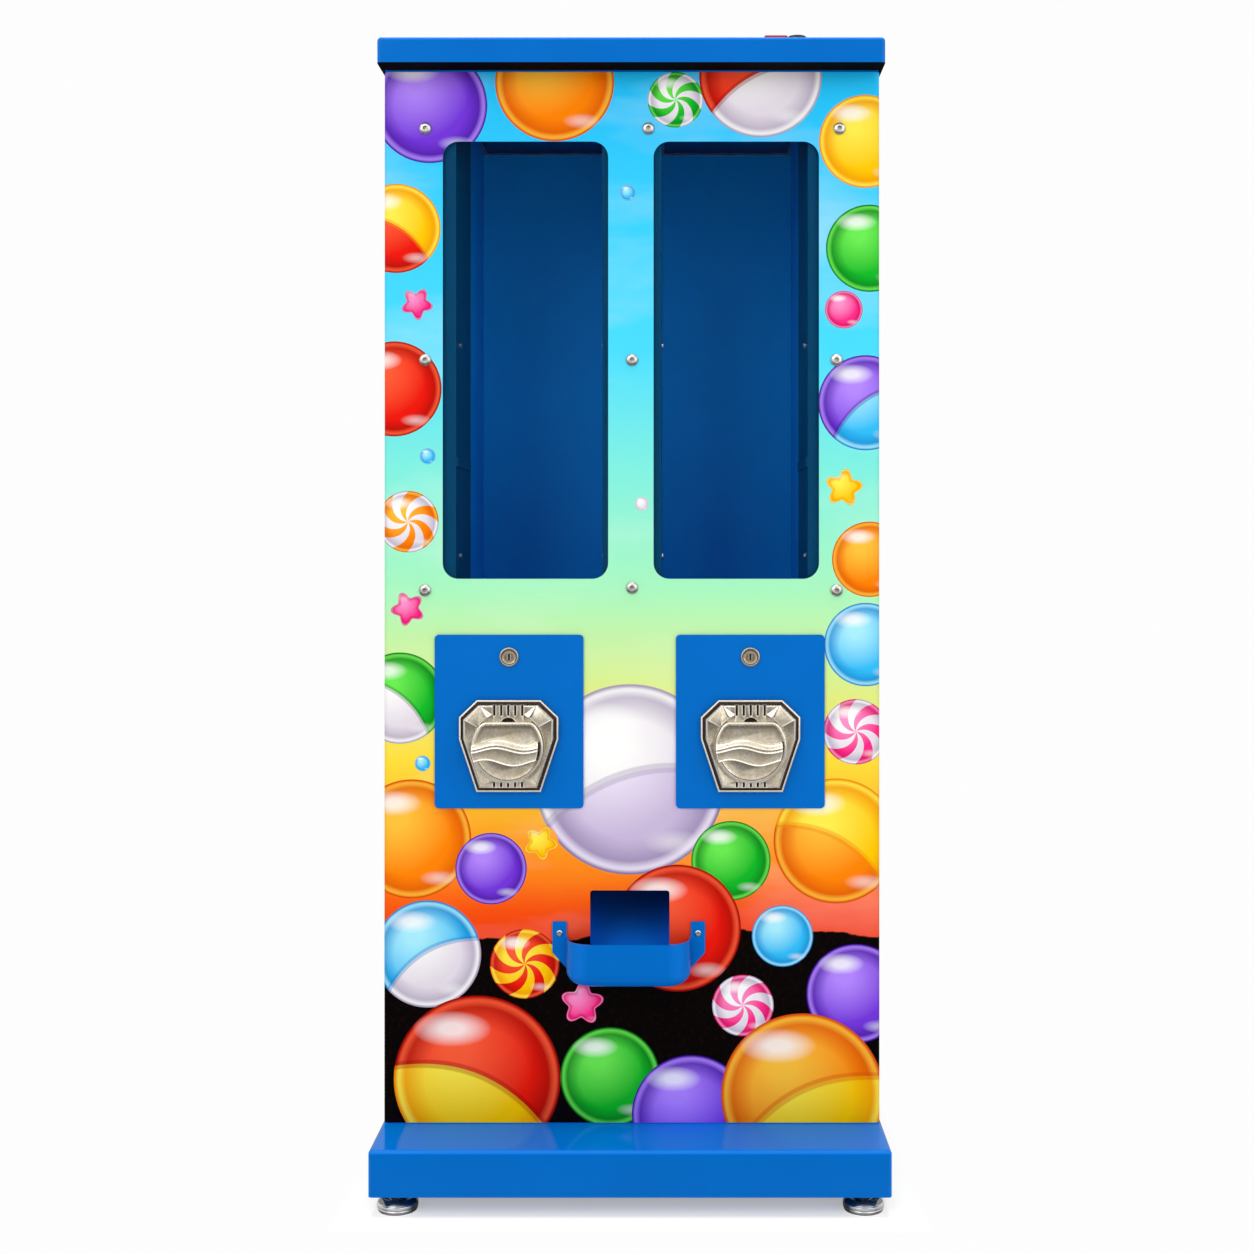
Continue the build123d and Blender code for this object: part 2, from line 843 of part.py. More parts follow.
# Wheel housings, hung below the funnels, each with a deflector over the outlet
housings = None
stands = None
axles = None
for sign, x in ((-1, wheel_xs[0]), (1, wheel_xs[1])):
    outer_radius = wheel_ring_radius + housing_gap + housing_wall
    wall = post(x, wheel_y, funnel_bottom - housing_height, funnel_bottom, outer_radius)
    wall -= post(
        x,
        wheel_y,
        funnel_bottom - housing_height,
        funnel_bottom - housing_wall,
        wheel_ring_radius + housing_gap,
    )
    wall -= post(x, wheel_y, funnel_bottom - housing_wall, funnel_bottom, housing_flange_inner)
    turn = 180 if sign > 0 else 0
    sector = Pos(x, wheel_y) * Rot(0, 0, turn - deflector_angle / 2) * make_face(
        Curve()
        + [
            Line((0, 0), (wheel_ring_radius, 0)),
            CenterArc((0, 0), wheel_ring_radius, 0, deflector_angle),
            Line(
                (0, 0),
                (
                    wheel_ring_radius * math.cos(math.radians(deflector_angle)),
                    wheel_ring_radius * math.sin(math.radians(deflector_angle)),
                ),
            ),
        ]
    )
    deflector = standing(
        sector,
        funnel_bottom - housing_wall - deflector_thickness,
        funnel_bottom - housing_wall,
    )
    deflector -= post(
        x,
        wheel_y,
        funnel_bottom - housing_wall - deflector_thickness,
        funnel_bottom - housing_wall,
        deflector_inner_radius,
    )
    wall += deflector
    housings = wall if housings is None else housings + wall

    # Stand plate under the wheel, with the outlet tube, a middle boss and an outer leg
    outlet_x = x - sign * pocket_centre_radius
    plate_radius = wheel_ring_radius - tooth_face_width - stand_plate_gap
    stand = post(x, wheel_y, stand_top - stand_plate_thickness, stand_top, plate_radius)
    deck_top = lower_deck_level
    stand += post(outlet_x, wheel_y, deck_top, stand_top, outlet_radius + outlet_wall)
    stand = stand & post(x, wheel_y, deck_top, stand_top, plate_radius)
    stand += post(x, wheel_y, deck_top, stand_top, stand_boss_radius)
    stand += post(x + sign * stand_leg_offset, wheel_y, deck_top, stand_top, stand_leg_radius)
    stand -= post(outlet_x, wheel_y, deck_top, stand_top, outlet_radius)
    side_x = outlet_x - sign * 2 * outlet_radius
    stand -= block(
        min(outlet_x, side_x),
        max(outlet_x, side_x),
        wheel_y - plate_radius,
        wheel_y + plate_radius,
        deck_top,
        deck_top + outlet_side_height,
    )
    stand -= post(x, wheel_y, deck_top, stand_top, axle_radius + running_gap)
    stands = stand if stands is None else stands + stand

    # Axle bolt with a nut over the wheel
    nut_bottom = wheel_top + wheel_cone_height + axle_nut_gap
    axle = post(x, wheel_y, deck_top, nut_bottom, axle_radius)
    axle += standing(
        Pos(x, wheel_y) * RegularPolygon(axle_nut_radius, 6),
        nut_bottom,
        nut_bottom + axle_nut_height,
    )
    axles = axle if axles is None else axles + axle
save(housings, "wheel_housings")
save(stands, "wheel_stands")
save(axles, "wheel_axles")


def tooth_gap(width_at_pitch, length):
    """A radial slot of constant width that a pinion tooth fills, open downwards."""
    slope = math.tan(math.radians(tooth_flank_angle))
    half_root = width_at_pitch / 2 - tooth_dedendum * slope
    half_tip = width_at_pitch / 2 + tooth_addendum * slope
    outline = Polyline(
        (-half_tip, -tooth_addendum),
        (half_tip, -tooth_addendum),
        (half_root, tooth_dedendum),
        (-half_root, tooth_dedendum),
        close=True,
    )
    return extrude(Plane(origin=(0, 0, 0), x_dir=(0, 1, 0), z_dir=(1, 0, 0)) * make_face(outline), length)


# Capsule wheels with pockets and a ring of teeth facing down
for x, name in zip(wheel_xs, ("left", "right")):
    wheel = post(0, 0, wheel_bottom, wheel_top, wheel_body_radius)
    wheel += post(0, 0, ring_tip_level, wheel_bottom + wheel_ring_height, wheel_ring_radius)
    wheel -= post(0, 0, ring_tip_level, wheel_bottom, wheel_ring_radius - tooth_face_width)
    wheel += post(0, 0, wheel_top, wheel_top + wheel_cone_height, wheel_cone_radius)
    gap = Pos(wheel_ring_radius - tooth_face_width - tooth_addendum, 0, pitch_level) * tooth_gap(
        tooth_pitch / 2 + tooth_backlash / 2, tooth_face_width + 2 * tooth_addendum
    )
    gaps = []
    for index in range(wheel_ring_teeth):
        angle = 270 + 360 * index / wheel_ring_teeth
        gaps.append(Rot(0, 0, angle) * gap)
    wheel -= gaps
    pockets = []
    for index in range(pocket_count):
        angle = math.radians(360 * index / pocket_count)
        pocket_x = pocket_centre_radius * math.cos(angle)
        pocket_y = pocket_centre_radius * math.sin(angle)
        pockets.append(post(pocket_x, pocket_y, wheel_bottom, wheel_top, pocket_radius))
    wheel -= pockets
    wheel -= post(0, 0, ring_tip_level, wheel_top + wheel_cone_height, axle_radius + running_gap)
    save(Pos(x, wheel_y, 0) * wheel, "dispensing_wheel_" + name)

# Lower deck with the capsule outlets and the coin chutes
lower_deck = hanging_deck(lower_deck_level - deck_sheet, lower_deck_flange)
for sign, x in ((-1, wheel_xs[0]), (1, wheel_xs[1])):
    outlet_x = x - sign * pocket_centre_radius
    lower_deck -= post(outlet_x, wheel_y, lower_deck_level - deck_sheet, lower_deck_level, outlet_radius)
    side_x = opening_shift + sign * collector_inner_reach
    lower_deck -= block(
        min(outlet_x, side_x),
        max(outlet_x, side_x),
        wheel_y - outlet_radius,
        wheel_y + outlet_radius,
        lower_deck_level - deck_sheet,
        lower_deck_level,
    )
for x in mech_xs:
    chute_y = front + coin_chute_depth_from_front
    bottom = lower_deck_level - coin_chute_drop
    outer_half = coin_chute_width / 2 + coin_chute_wall
    outer_half_y = coin_chute_depth / 2 + coin_chute_wall
    lower_deck += block(
        x - outer_half,
        x + outer_half,
        chute_y - outer_half_y,
        chute_y + outer_half_y,
        bottom,
        lower_deck_level - deck_sheet,
    )
    lower_deck -= block(
        x - coin_chute_width / 2,
        x + coin_chute_width / 2,
        chute_y - coin_chute_depth / 2,
        chute_y + coin_chute_depth / 2,
        bottom,
        lower_deck_level,
    )
save(lower_deck, "lower_deck")

# Delivery ramp: a channel that slopes down to the opening
ramp_rear = front + ramp_reach
ramp_rise = math.tan(math.radians(ramp_angle)) * ramp_reach
ramp_lift = ramp_sheet / math.cos(math.radians(ramp_angle))
ramp_low = opening_shift - ramp_width / 2 - ramp_sheet
ramp_high = opening_shift + ramp_width / 2 + ramp_sheet
ramp_start = inner_front
floor_points = [
    (ramp_start, ramp_front_level - ramp_lift),
    (ramp_rear, ramp_front_level + ramp_rise - ramp_lift),
    (ramp_rear, ramp_front_level + ramp_rise),
    (ramp_start, ramp_front_level),
]
ramp = prism_x(floor_points, ramp_low, ramp_high)
wall_points = [
    (ramp_start, ramp_front_level - ramp_lift),
    (ramp_rear, ramp_front_level + ramp_rise - ramp_lift),
    (ramp_rear, ramp_front_level + ramp_rise + ramp_wall_height),
    (ramp_start, ramp_front_level + ramp_wall_height),
]
for low in (ramp_low, ramp_high - ramp_sheet):
    ramp += prism_x(wall_points, low, low + ramp_sheet)
save(ramp, "delivery_ramp")

# Capsule collector: two wings that slope from the outlets to the ramp
wings = None
wing_level = ramp_front_level + math.tan(math.radians(ramp_angle)) * (wheel_y - front + collector_depth / 2)
wing_low_z = wing_level + ramp_wall_height + face_gap
wing_top_z = lower_deck_level - deck_sheet
for sign in (-1, 1):
    inner_x = opening_shift + sign * collector_inner_reach
    outer_x = opening_shift + sign * collector_outer_reach
    wing = prism_y(
        [
            (inner_x, wing_low_z),
            (outer_x, wing_top_z - ramp_sheet),
            (outer_x, wing_top_z),
            (inner_x, wing_low_z + ramp_sheet),
        ],
        wheel_y - collector_depth / 2,
        wheel_y + collector_depth / 2,
    )
    for y in (wheel_y - collector_depth / 2 - ramp_sheet, wheel_y + collector_depth / 2):
        wing += prism_y(
            [
                (inner_x, wing_low_z),
                (outer_x, wing_top_z - ramp_sheet),
                (outer_x, wing_top_z),
                (inner_x, wing_top_z),
            ],
            y,
            y + ramp_sheet,
        )
    wings = wing if wings is None else wings + wing
save(wings, "capsule_collector")

# Catch tray: a round-cornered pocket with two ears
tray_low = tray_shift - tray_width / 2
tray_high = tray_shift + tray_width / 2
tray_front = film_front - tray_depth
tray = block(tray_low, tray_high, tray_front, film_front, tray_bottom, tray_rim)
corner_edges = tray.edges().filter_by(Axis.Z).group_by(Axis.Y)[0]
tray = fillet(corner_edges, tray_plan_radius)
lower_edges = in_front_of(tray.edges().group_by(Axis.Z)[0], film_front - running_gap)
tray = fillet(lower_edges, tray_lower_radius)
pocket = block(
    tray_low + tray_sheet,
    tray_high - tray_sheet,
    tray_front + tray_sheet,
    film_front,
    tray_bottom + tray_sheet,
    tray_rim,
)
corner_edges = pocket.edges().filter_by(Axis.Z).group_by(Axis.Y)[0]
pocket = fillet(corner_edges, tray_plan_radius - tray_sheet)
lower_edges = in_front_of(pocket.edges().group_by(Axis.Z)[0], film_front - running_gap)
pocket = fillet(lower_edges, tray_lower_radius - tray_sheet)
tray -= pocket
tray_screws = None
for sign, x in zip((-1, 1), tray_screw_xs):
    ear_low = x - tray_ear_width / 2
    ear_high = x + tray_ear_width / 2
    left_end = tray_ear_bottom + tray_ear_slant * (1 - sign) / 2
    right_end = tray_ear_bottom + tray_ear_slant * (1 + sign) / 2
    ear_outline = [
        (ear_low, left_end),
        (ear_high, right_end),
        (ear_high, tray_ear_top),
        (ear_low, tray_ear_top),
    ]
    ear = prism_y(ear_outline, film_front - tray_sheet, film_front)
    ear = fillet(ear.edges().filter_by(Axis.Y).group_by(Axis.Z)[-1], tray_ear_radius)
    bridge_low = min(x, x - sign * (tray_ear_width / 2 + tray_sheet))
    bridge_high = max(x, x - sign * (tray_ear_width / 2 + tray_sheet))
    ear += block(
        bridge_low,
        bridge_high,
        film_front - tray_sheet,
        film_front,
        tray_ear_bottom + tray_lower_radius,
        tray_rim,
    )
    ear_hole_radius = tray_screw_shank_radius + screw_hole_gap
    ear -= rod(x, tray_screw_level, film_front - tray_sheet, film_front, ear_hole_radius)
    tray += ear
    screw = button_screw(
        x,
        tray_screw_level,
        film_front - tray_sheet,
        tray_screw_head_radius,
        tray_screw_head_height,
        tray_screw_shank_radius,
        film_front - tray_sheet + tray_screw_length,
        tray_screw_head_radius,
    )
    tray_screws = screw if tray_screws is None else tray_screws + screw
save(tray, "catch_tray")
save(tray_screws, "tray_screws")

# Bezel outline, seen from the front with the shaft as its middle
bezel_upper = bezel_height / 2
bezel_outline = [
    (-bezel_half_top, bezel_upper),
    (bezel_half_top, bezel_upper),
    (bezel_half_width, bezel_upper - bezel_upper_bevel),
    (bezel_half_width, bezel_upper - bezel_lower_bevel_start),
    (bezel_half_bottom, -bezel_upper),
    (-bezel_half_bottom, -bezel_upper),
    (-bezel_half_width, bezel_upper - bezel_lower_bevel_start),
    (-bezel_half_width, bezel_upper - bezel_upper_bevel),
]


def edge_curve(points, y):
    """A smooth curve through (x, z) points on one front plane."""
    return Spline([(px, y, pz) for px, pz in points])


def wave_face(upper, lower, y):
    """A face between two wave curves on one front plane."""
    top_curve = edge_curve(upper, y)
    low_curve = edge_curve(lower, y)
    ends = [
        Line(top_curve @ 0, low_curve @ 0),
        Line(top_curve @ 1, low_curve @ 1),
    ]
    return make_face(Curve() + [top_curve, low_curve] + ends)


def shifted(points, rise):
    """Points of a curve, all lifted by the same rise."""
    return [(px, pz + rise) for px, pz in points]


for x, name in zip(mech_xs, ("left", "right")):
    # Door plate with a frame that enters the opening
    door = panel(x, door_middle_z, door_width, door_height, door_corner_radius, door_back, door_front)
    frame_width = door_width - 2 * door_lap - 2 * door_frame_gap
    frame_height = door_height - 2 * door_lap - 2 * door_frame_gap
    frame = panel(
        x,
        door_middle_z,
        frame_width,
        frame_height,
        door_corner_radius - door_frame_gap,
        door_back + door_frame_depth,
        door_back,
    )
    frame -= panel(
        x,
        door_middle_z,
        frame_width - 2 * door_frame_sheet,
        frame_height - 2 * door_frame_sheet,
        (door_corner_radius - door_frame_gap) / 2,
        door_back + door_frame_depth,
        door_back,
    )
    door += frame
    door -= rod(x, shaft_level, door_front, door_back, shaft_radius + knob_gap)
    door -= rod(x, lock_level, door_front, door_back, lock_body_radius + running_gap)
    coin_slot = block(
        x - coin_radius - coin_slot_thickness / 2,
        x + coin_radius + coin_slot_thickness / 2,
        door_front,
        door_back,
        shaft_level + coin_horn_level,
        shaft_level + coin_horn_level + coin_recess_height / 2,
    )
    door -= coin_slot
    save(door, "mech_door_" + name)

    # Bezel: a bevelled rim, a faceted face, grooves, a knob seat and two horns beside the coin slot
    outline = Pos(x, shaft_level) * make_face(Polyline(bezel_outline, close=True))
    rim = upright(outline, door_front, door_front - bezel_rim_thickness)
    rim = chamfer(rim.faces().sort_by(Axis.Y)[0].edges(), bezel_rim_bevel)
    rim_front = door_front - bezel_rim_thickness
    inner_outline = offset(outline, -bezel_face_inset, kind=Kind.INTERSECTION)
    face_outline = offset(outline, -bezel_face_inset - bezel_face_taper, kind=Kind.INTERSECTION)
    seat_plane = Plane(origin=(0, rim_front, 0), x_dir=(1, 0, 0), z_dir=(0, -1, 0))
    face_plane = Plane(origin=(0, bezel_front, 0), x_dir=(1, 0, 0), z_dir=(0, -1, 0))
    bezel = rim + loft([seat_plane * inner_outline, face_plane * face_outline])
    for index in range(bezel_groove_count):
        groove_x = x + (index - (bezel_groove_count - 1) / 2) * bezel_groove_pitch
        upper_z = bezel_top - bezel_groove_margin
        bezel -= block(
            groove_x - bezel_groove_width / 2,
            groove_x + bezel_groove_width / 2,
            bezel_front,
            bezel_front + bezel_groove_depth,
            upper_z - bezel_upper_groove_length,
            upper_z,
        )
        lower_z = shaft_level - bezel_height / 2 + bezel_groove_margin
        bezel -= block(
            groove_x - bezel_groove_width / 2,
            groove_x + bezel_groove_width / 2,
            bezel_front,
            bezel_front + bezel_groove_depth,
            lower_z,
            lower_z + bezel_lower_groove_length,
        )
    bezel -= rod(x, shaft_level, bezel_front, bezel_front + knob_recess_depth, knob_radius + knob_gap)
    seat_floor = bezel_front + knob_recess_depth
    horn_bottom = shaft_level + coin_horn_level
    for sign in (-1, 1):
        horn_points = [
            (x + sign * coin_recess_width / 2, horn_bottom),
            (x + sign * (coin_recess_width / 2 + coin_horn_width), horn_bottom + coin_horn_height),
            (x + sign * coin_recess_width / 2, horn_bottom + coin_horn_height),
        ]
        horn = prism_y(horn_points, bezel_front - coin_horn_rise, seat_floor)
        horn -= rod(x, shaft_level, bezel_front - coin_horn_rise, seat_floor, knob_radius + knob_gap)
        bezel += horn
    bezel -= block(
        x - coin_recess_width / 2,
        x + coin_recess_width / 2,
        bezel_front,
        bezel_front + coin_recess_depth,
        shaft_level + coin_horn_level,
        shaft_level + coin_horn_level + coin_recess_height,
    )
    bezel -= block(
        x - coin_radius - coin_slot_thickness / 2,
        x + coin_radius + coin_slot_thickness / 2,
        bezel_front,
        door_front,
        shaft_level + coin_horn_level,
        shaft_level + coin_horn_level + coin_slot_thickness,
    )
    bezel -= rod(x, shaft_level, bezel_front, door_front, shaft_radius + running_gap)
    save(bezel, "bezel_" + name)

    # Knob: a disc with a flat top, a raised rim and a wavy grip
    disc = Circle(knob_radius)
    disc -= Pos(0, knob_flat_level + knob_radius) * Rectangle(2 * knob_radius, 2 * knob_radius)
    disc = fillet(disc.vertices(), knob_corner_radius)
    knob = upright(Pos(x, shaft_level) * disc, knob_back, knob_front)
    rim_sketch = disc - offset(disc, -knob_rim_width)
    knob += upright(Pos(x, shaft_level) * rim_sketch, knob_front, knob_front - knob_rim_height)
    grip_front = knob_front - grip_rise
    grip = loft(
        [
            wave_face(grip_upper_edge, shifted(grip_lower_edge, -grip_foot_spread), 0),
            wave_face(grip_crest_edge, grip_lower_edge, grip_front - knob_front),
        ]
    )
    grip = Pos(x, knob_front, shaft_level) * grip
    grip = grip & rod(x, shaft_level, grip_front, knob_front, knob_radius)
    knob += grip
    knob -= rod(x, shaft_level, knob_front + knob_disc_thickness / 2, knob_back, shaft_radius)
    save(knob, "knob_" + name)

    # Drive shaft with its collars and coin carrier
    shaft_front = knob_front + knob_disc_thickness / 2
    shaft = rod(x, shaft_level, shaft_front, pinion_back + shaft_end_reach, shaft_radius)
    carrier_front = door_back + coin_carrier_depth
    carrier = rod(x, shaft_level, carrier_front, carrier_front + coin_carrier_thickness, coin_carrier_radius)
    carrier -= rod(
        x,
        shaft_level + coin_carrier_radius - coin_radius / 2,
        carrier_front,
        carrier_front + coin_carrier_thickness,
        coin_radius + face_gap,
    )
    shaft += carrier
    collar_back = housing_back - mech_housing_wall - face_gap
    shaft += rod(x, shaft_level, collar_back - collar_length, collar_back, collar_radius)
    ratchet_points = []
    for tooth in range(ratchet_teeth):
        start = 2 * math.pi * tooth / ratchet_teeth
        ratchet_points.append((ratchet_radius * math.cos(start), ratchet_radius * math.sin(start)))
        root = ratchet_radius - ratchet_tooth_depth
        ratchet_points.append((root * math.cos(start), root * math.sin(start)))
    ratchet = Pos(x, shaft_level) * make_face(Polyline(ratchet_points, close=True))
    ratchet_front = door_back + ratchet_depth
    shaft += upright(ratchet, ratchet_front + ratchet_thickness, ratchet_front)
    save(shaft, "drive_shaft_" + name)

    # Drive pinion at the end of the shaft
    slope = math.tan(math.radians(tooth_flank_angle))
    half_pitch = tooth_pitch / 4 - tooth_backlash / 4
    tip_radius = pinion_pitch_radius + tooth_addendum
    root_radius = pinion_pitch_radius - tooth_dedendum
    half_tip = half_pitch - tooth_addendum * slope
    half_root = half_pitch + (pinion_pitch_radius - root_radius) * slope
    tooth = make_face(
        Polyline(
            (-half_root, root_radius - half_root * slope),
            (-half_tip, tip_radius),
            (half_tip, tip_radius),
            (half_root, root_radius - half_root * slope),
            close=True,
        )
    )
    gear = Circle(root_radius)
    for index in range(pinion_teeth):
        gear += Rot(0, 0, 360 * index / pinion_teeth) * tooth
    gear -= Circle(shaft_radius)
    save(upright(Pos(x, shaft_level) * gear, pinion_back, pinion_front), "drive_pinion_" + name)

    # Housing of the coin mechanism, open below for the coins
    half_width = mech_housing_width / 2
    half_height = mech_housing_height / 2
    housing = block(
        x - half_width,
        x + half_width,
        door_back,
        housing_back,
        shaft_level - half_height,
        shaft_level + half_height,
    )
    housing -= block(
        x - half_width + mech_housing_wall,
        x + half_width - mech_housing_wall,
        door_back,
        housing_back - mech_housing_wall,
        shaft_level - half_height + mech_housing_wall,
        shaft_level + half_height - mech_housing_wall,
    )
    housing -= block(
        x - coin_exit_width / 2,
        x + coin_exit_width / 2,
        housing_back - coin_exit_inset - coin_exit_depth,
        housing_back - coin_exit_inset,
        shaft_level - half_height,
        shaft_level - half_height + mech_housing_wall,
    )
    housing -= rod(x, shaft_level, housing_back - mech_housing_wall, housing_back, shaft_radius + running_gap)
    save(housing, "mech_housing_" + name)

    # Lock: a fixed barrel with a dished face, and a plug that carries the cam
    barrel = rod(x, lock_level, door_front - lock_face_thickness, door_front, lock_face_radius)
    barrel = fillet(barrel.edges().group_by(Axis.Y)[0], lock_face_thickness / 3)
    barrel += rod(x, lock_level, door_front, door_front + lock_body_length, lock_body_radius)
    barrel -= rod(
        x,
        lock_level,
        door_front - lock_face_thickness,
        door_front + lock_body_length,
        lock_plug_radius + running_gap,
    )
    save(barrel, "lock_barrel_" + name)
    plug_front = door_front - lock_face_thickness + lock_dish_depth
    cam_front = door_front + lock_body_length + face_gap
    plug = rod(x, lock_level, plug_front, cam_front, lock_plug_radius)
    plug -= block(
        x - keyway_width / 2,
        x + keyway_width / 2,
        plug_front,
        plug_front + keyway_depth,
        lock_level - keyway_height / 2,
        lock_level + keyway_height / 2,
    )
    cam = block(
        x - cam_length + cam_width / 2,
        x,
        cam_front,
        cam_front + cam_thickness,
        lock_level - cam_width / 2,
        lock_level + cam_width / 2,
    )
    cam += rod(x, lock_level, cam_front, cam_front + cam_thickness, cam_width / 2)
    plug += cam
    plug += upright(
        Pos(x, lock_level) * RegularPolygon(lock_plug_radius, 6),
        cam_front + 2 * cam_thickness,
        cam_front + cam_thickness,
    )
    save(plug, "lock_plug_" + name)

# Coin shelves on the base and the coin boxes on them
shelves = None
for x, name in zip(mech_xs, ("left", "right")):
    half_width = coin_box_width / 2 + coin_shelf_margin
    box_rear = coin_box_front + coin_box_depth
    shelf = block(
        x - half_width,
        x + half_width,
        coin_box_front,
        box_rear,
        base_top,
        coin_box_bottom,
    )
    shelf -= block(
        x - half_width + coin_shelf_sheet,
        x + half_width - coin_shelf_sheet,
        coin_box_front,
        box_rear,
        base_top,
        coin_box_bottom - coin_shelf_sheet,
    )
    shelves = shelf if shelves is None else shelves + shelf
    box = block(
        x - coin_box_width / 2,
        x + coin_box_width / 2,
        coin_box_front,
        box_rear,
        coin_box_bottom,
        coin_box_bottom + coin_box_height,
    )
    box -= block(
        x - coin_box_width / 2 + coin_box_sheet,
        x + coin_box_width / 2 - coin_box_sheet,
        coin_box_front + coin_box_sheet,
        box_rear - coin_box_sheet,
        coin_box_bottom + coin_box_sheet,
        coin_box_bottom + coin_box_height,
    )
    save(box, "coin_box_" + name)
save(shelves, "coin_shelves")

# Lid: a folded tray, open at the rear, with a return under its front overhang
lid_rear = hinge_y - hinge_knuckle_radius - lid_side_gap
lid = block(-lid_side, lid_side, lid_front, lid_rear, lid_bottom, lid_top)
front_edges = lid.edges().filter_by(Axis.Z).group_by(Axis.Y)[0]
lid = fillet(front_edges, lid_edge_radius)
top_edges = in_front_of(lid.edges().group_by(Axis.Z)[-1], hinge_y - 3 * hinge_knuckle_radius)
lid = fillet(top_edges, lid_edge_radius)
lid_inner = block(
    -lid_side + cabinet_sheet,
    lid_side - cabinet_sheet,
    lid_front + cabinet_sheet,
    hinge_y,
    lid_bottom + cabinet_sheet,
    lid_top - cabinet_sheet,
)
front_edges = lid_inner.edges().filter_by(Axis.Z).group_by(Axis.Y)[0]
lid_inner = fillet(front_edges, lid_edge_radius - cabinet_sheet)
lid -= lid_inner
lid -= block(
    -lid_side + cabinet_sheet,
    lid_side - cabinet_sheet,
    front - lid_lower_lip,
    hinge_y,
    lid_bottom,
    lid_bottom + cabinet_sheet,
)
lid -= post(lid_lock_x, lid_lock_y, lid_top - cabinet_sheet, lid_top, lock_body_radius + running_gap)
save(lid, "lid")

# Seal between the lid and the top flange
seal_top = lid_top - cabinet_sheet - lid_rest_gap
seal_rear = hinge_y - hinge_leaf_width - seal_width / 2
seal = block(-inner_side, inner_side, inner_front, seal_rear, shell_top, seal_top)
seal -= block(
    -inner_side + seal_width,
    inner_side - seal_width,
    inner_front + seal_width,
    seal_rear,
    shell_top,
    seal_top,
)
save(seal, "lid_seal")

# Lid hinge: two leaves with knuckles round one pin
pitch = hinge_length / hinge_knuckles
pin = crossbar(hinge_y, hinge_z, -hinge_length / 2, hinge_length / 2, hinge_pin_radius)
save(pin, "hinge_pin")
lid_leaf = block(
    -hinge_length / 2,
    hinge_length / 2,
    hinge_y - hinge_leaf_width,
    hinge_y - hinge_knuckle_radius - face_gap,
    lid_top - cabinet_sheet - hinge_leaf_sheet,
    lid_top - cabinet_sheet,
)
body_leaf = block(
    -hinge_length / 2,
    hinge_length / 2,
    rear,
    rear + hinge_leaf_sheet,
    hinge_z - hinge_leaf_width,
    hinge_z - hinge_knuckle_radius - face_gap,
)
for index in range(hinge_knuckles):
    low = -hinge_length / 2 + index * pitch + face_gap / 2
    high = low + pitch - face_gap
    knuckle = crossbar(hinge_y, hinge_z, low, high, hinge_knuckle_radius)
    if index % 2:
        lid_leaf += knuckle
        lid_leaf += block(
            low,
            high,
            hinge_y - hinge_knuckle_radius - face_gap,
            hinge_y,
            lid_top - cabinet_sheet - hinge_leaf_sheet,
            lid_top - cabinet_sheet,
        )
    else:
        body_leaf += knuckle
        body_leaf += block(
            low,
            high,
            rear,
            rear + hinge_leaf_sheet,
            hinge_z - hinge_knuckle_radius - face_gap,
            hinge_z,
        )
pin_hole = crossbar(hinge_y, hinge_z, -hinge_length / 2, hinge_length / 2, hinge_pin_radius + running_gap)
lid_leaf -= pin_hole
body_leaf -= pin_hole
save(lid_leaf, "hinge_leaf_lid")
save(body_leaf, "hinge_leaf_body")

# Lid lock: a low pad, a barrel with a dark head, its plug and cam, and a red cap on a strap
barrel = post(lid_lock_x, lid_lock_y, lid_top, lid_top + lid_lock_head_height, lid_lock_head_radius)
barrel = fillet(barrel.edges().group_by(Axis.Z)[-1], lid_lock_plug_rise / 2)
barrel += post(lid_lock_x, lid_lock_y, lid_top - lid_lock_body_length, lid_top, lock_body_radius)
barrel -= post(
    lid_lock_x,
    lid_lock_y,
    lid_top - lid_lock_body_length,
    lid_top + lid_lock_head_height,
    lock_plug_radius + running_gap,
)
save(barrel, "lid_lock_barrel")
cam_top = lid_top - lid_lock_body_length - face_gap
plug_top = lid_top + lid_lock_head_height + lid_lock_plug_rise
plug = post(lid_lock_x, lid_lock_y, cam_top, plug_top, lock_plug_radius)
plug -= block(
    lid_lock_x - keyway_height / 2,
    lid_lock_x + keyway_height / 2,
    lid_lock_y - keyway_width / 2,
    lid_lock_y + keyway_width / 2,
    plug_top - keyway_depth,
    plug_top,
)
plug += block(
    lid_lock_x,
    lid_lock_x + lid_cam_length,
    lid_lock_y - lid_cam_width / 2,
    lid_lock_y + lid_cam_width / 2,
    cam_top - cam_thickness,
    cam_top,
)
plug += post(lid_lock_x, lid_lock_y, cam_top - cam_thickness, cam_top, lid_cam_width / 2)
save(plug, "lid_lock_plug")
cap_high = lid_lock_x - lid_lock_head_radius - face_gap
cap = block(
    cap_high - cap_width,
    cap_high,
    lid_lock_y - cap_depth / 2,
    lid_lock_y + cap_depth / 2,
    lid_top,
    lid_top + cap_height,
)
cap = fillet(cap.edges().filter_by(Axis.Z), cap_height / 2)
cap = fillet(cap.edges().group_by(Axis.Z)[-1], cap_height / 4)
save(cap, "lid_lock_cap")
